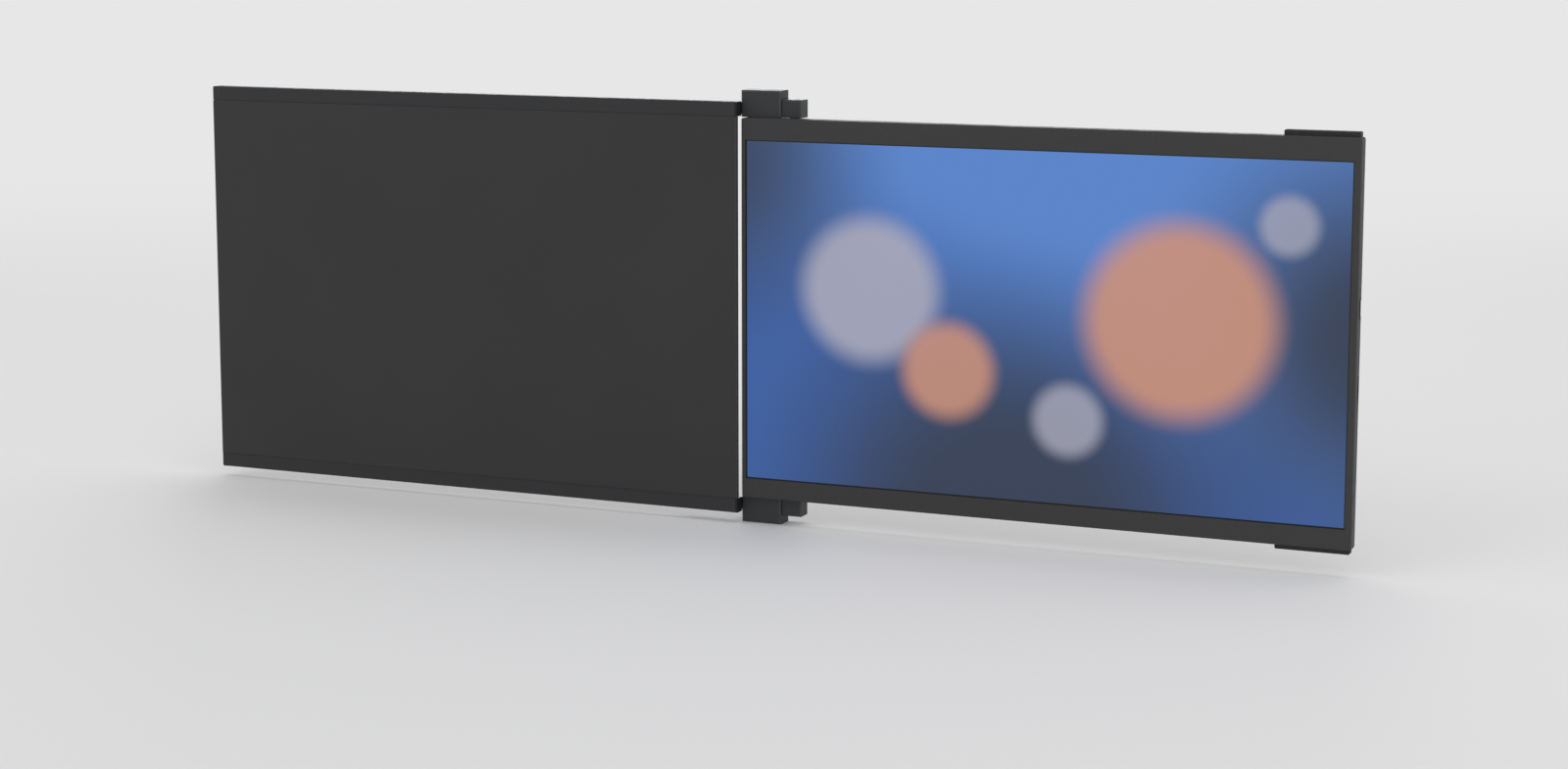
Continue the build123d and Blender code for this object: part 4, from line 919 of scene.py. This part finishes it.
# ---- Stage ---------------------------------------------------------------------------------------
class EXTENDER_OT_stage(bpy.types.Operator):
    """Sets the floor, the soft lights and the camera"""

    bl_idname = "extender.stage"
    bl_label = "Stage"

    def softbox(self, name, place, size, power):
        """A soft rectangular light that faces the part."""
        bpy.ops.object.select_all(action="DESELECT")
        bpy.ops.object.light_add(type="AREA", location=place)
        lamp = bpy.context.object
        lamp.name = lamp.data.name = name
        lamp.data.shape = "RECTANGLE"
        lamp.data.size, lamp.data.size_y = size
        lamp.data.energy = power
        lamp.visible_camera = False
        lamp.rotation_euler = (STAGE_CENTRE - Vector(place)).to_track_quat("-Z", "Y").to_euler()

    def seen(self, tree):
        """1 for rays of the camera, of gloss and of glass, and 0 for rays that only carry light."""
        path = tree.nodes.new("ShaderNodeLightPath")
        result = path.outputs["Is Camera Ray"]
        for other in ("Is Glossy Ray", "Is Transmission Ray"):
            either = tree.nodes.new("ShaderNodeMath")
            either.operation = "MAXIMUM"
            tree.links.new(result, either.inputs[0])
            tree.links.new(path.outputs[other], either.inputs[1])
            result = either.outputs["Value"]
        return result

    def floor(self, stage, level):
        """Paper that keeps the shadow near the object and runs into the backdrop far away."""
        floor = start("plane", "floor", (0.0, 0.0, level), size=FLOOR_SIZE)
        bpy.ops.object.mode_set(mode="EDIT")
        bpy.ops.mesh.subdivide(number_cuts=3)
        bpy.ops.object.mode_set(mode="OBJECT")
        settled(floor)
        f = Finish("floor_paper", stage.floor, roughness=0.85, specular=0.2)
        f.tint(f.noise(3.0), spread=0.01)
        distance = f.add("ShaderNodeVectorMath", operation="LENGTH")
        f.link(f.mapped(location=-STAGE_CENTRE), distance.inputs[0])
        far = f.ranged(distance.outputs["Value"], PAPER_ENDS, smooth=True)
        backdrop = f.add("ShaderNodeEmission")
        backdrop.inputs["Color"].default_value = (*stage.backdrop, 1.0)
        mix = f.add("ShaderNodeMixShader")
        f.link(f.math("MULTIPLY", far, self.seen(f.tree)), mix.inputs["Fac"])
        f.link(f.shader.outputs["BSDF"], mix.inputs[1])
        f.link(backdrop.outputs["Emission"], mix.inputs[2])
        f.link(mix.outputs["Shader"], f.tree.nodes["Material Output"].inputs["Surface"])
        give(floor, f.material)

    def surroundings(self, stage):
        """Even light for the object, and a plain pale room for whatever shows or mirrors it."""
        world = bpy.data.worlds.new("surroundings")
        world.use_nodes = True
        bpy.context.scene.world = world
        tree = world.node_tree
        lighting = tree.nodes["Background"]
        lighting.inputs["Color"].default_value = (1.0, 1.0, 1.0, 1.0)
        lighting.inputs["Strength"].default_value = stage.ambient
        backdrop = tree.nodes.new("ShaderNodeBackground")
        backdrop.inputs["Color"].default_value = (*stage.backdrop, 1.0)
        mix = tree.nodes.new("ShaderNodeMixShader")
        tree.links.new(self.seen(tree), mix.inputs["Fac"])
        tree.links.new(lighting.outputs["Background"], mix.inputs[1])
        tree.links.new(backdrop.outputs["Background"], mix.inputs[2])
        tree.links.new(mix.outputs["Shader"], tree.nodes["World Output"].inputs["Surface"])

    def camera(self, stage):
        """Looks down a little at the front, from the monitor's side."""
        turn = (math.pi / 2 - stage.pitch, 0.0, stage.yaw)
        bpy.ops.object.camera_add(location=CAMERA_PLACE, rotation=turn)
        camera = bpy.context.object
        camera.name = "camera"
        camera.data.lens = stage.lens
        camera.data.sensor_width = SENSOR_WIDTH
        camera.data.shift_y = CAMERA_SHIFT
        camera.data.clip_start = CAMERA_NEAR
        bpy.context.scene.camera = camera

    def execute(self, context):
        stage = context.scene.extender_stage
        self.floor(stage, CAD_BOX[0].z)
        self.surroundings(stage)
        for name, (place, size, power) in LIGHTS.items():
            self.softbox(name, place, size, power)
        self.camera(stage)
        context.scene.view_settings.view_transform = "Standard"
        return {"FINISHED"}


# ---- Panel and registration ----------------------------------------------------------------------
OPERATORS = (
    EXTENDER_OT_screen,
    EXTENDER_OT_contacts,
    EXTENDER_OT_key_marks,
    EXTENDER_OT_sleeve,
    EXTENDER_OT_carriage,
    EXTENDER_OT_case,
    EXTENDER_OT_electronics,
    EXTENDER_OT_screws,
    EXTENDER_OT_stage,
)
GROUPS = {
    "extender_colours": ExtenderColours,
    "extender_sizes": ExtenderSizes,
    "extender_picture": ExtenderPicture,
    "extender_stage": ExtenderStage,
}


class VIEW3D_PT_extender(bpy.types.Panel):
    """Lists the pieces, the finishes and their settings"""

    bl_label = "Screen extender"
    bl_space_type = "VIEW_3D"
    bl_region_type = "UI"
    bl_category = "Extender"

    def draw(self, context):
        for operator in OPERATORS:
            self.layout.operator(operator.bl_idname)
        for name, group in GROUPS.items():
            column = self.layout.column(heading=group.__doc__)
            for key in group.__annotations__:
                column.prop(getattr(context.scene, name), key)


def register():
    for group in GROUPS.values():
        bpy.utils.register_class(group)
    for name, group in GROUPS.items():
        setattr(bpy.types.Scene, name, bpy.props.PointerProperty(type=group))
    for operator in OPERATORS:
        bpy.utils.register_class(operator)
    bpy.utils.register_class(VIEW3D_PT_extender)


def unregister():
    bpy.utils.unregister_class(VIEW3D_PT_extender)
    for operator in reversed(OPERATORS):
        bpy.utils.unregister_class(operator)
    for name in GROUPS:
        delattr(bpy.types.Scene, name)
    for group in GROUPS.values():
        bpy.utils.unregister_class(group)


def main():
    register()
    for operator in OPERATORS:
        space, name = operator.bl_idname.split(".")
        getattr(getattr(bpy.ops, space), name)()


if __name__ == "__main__":
    main()
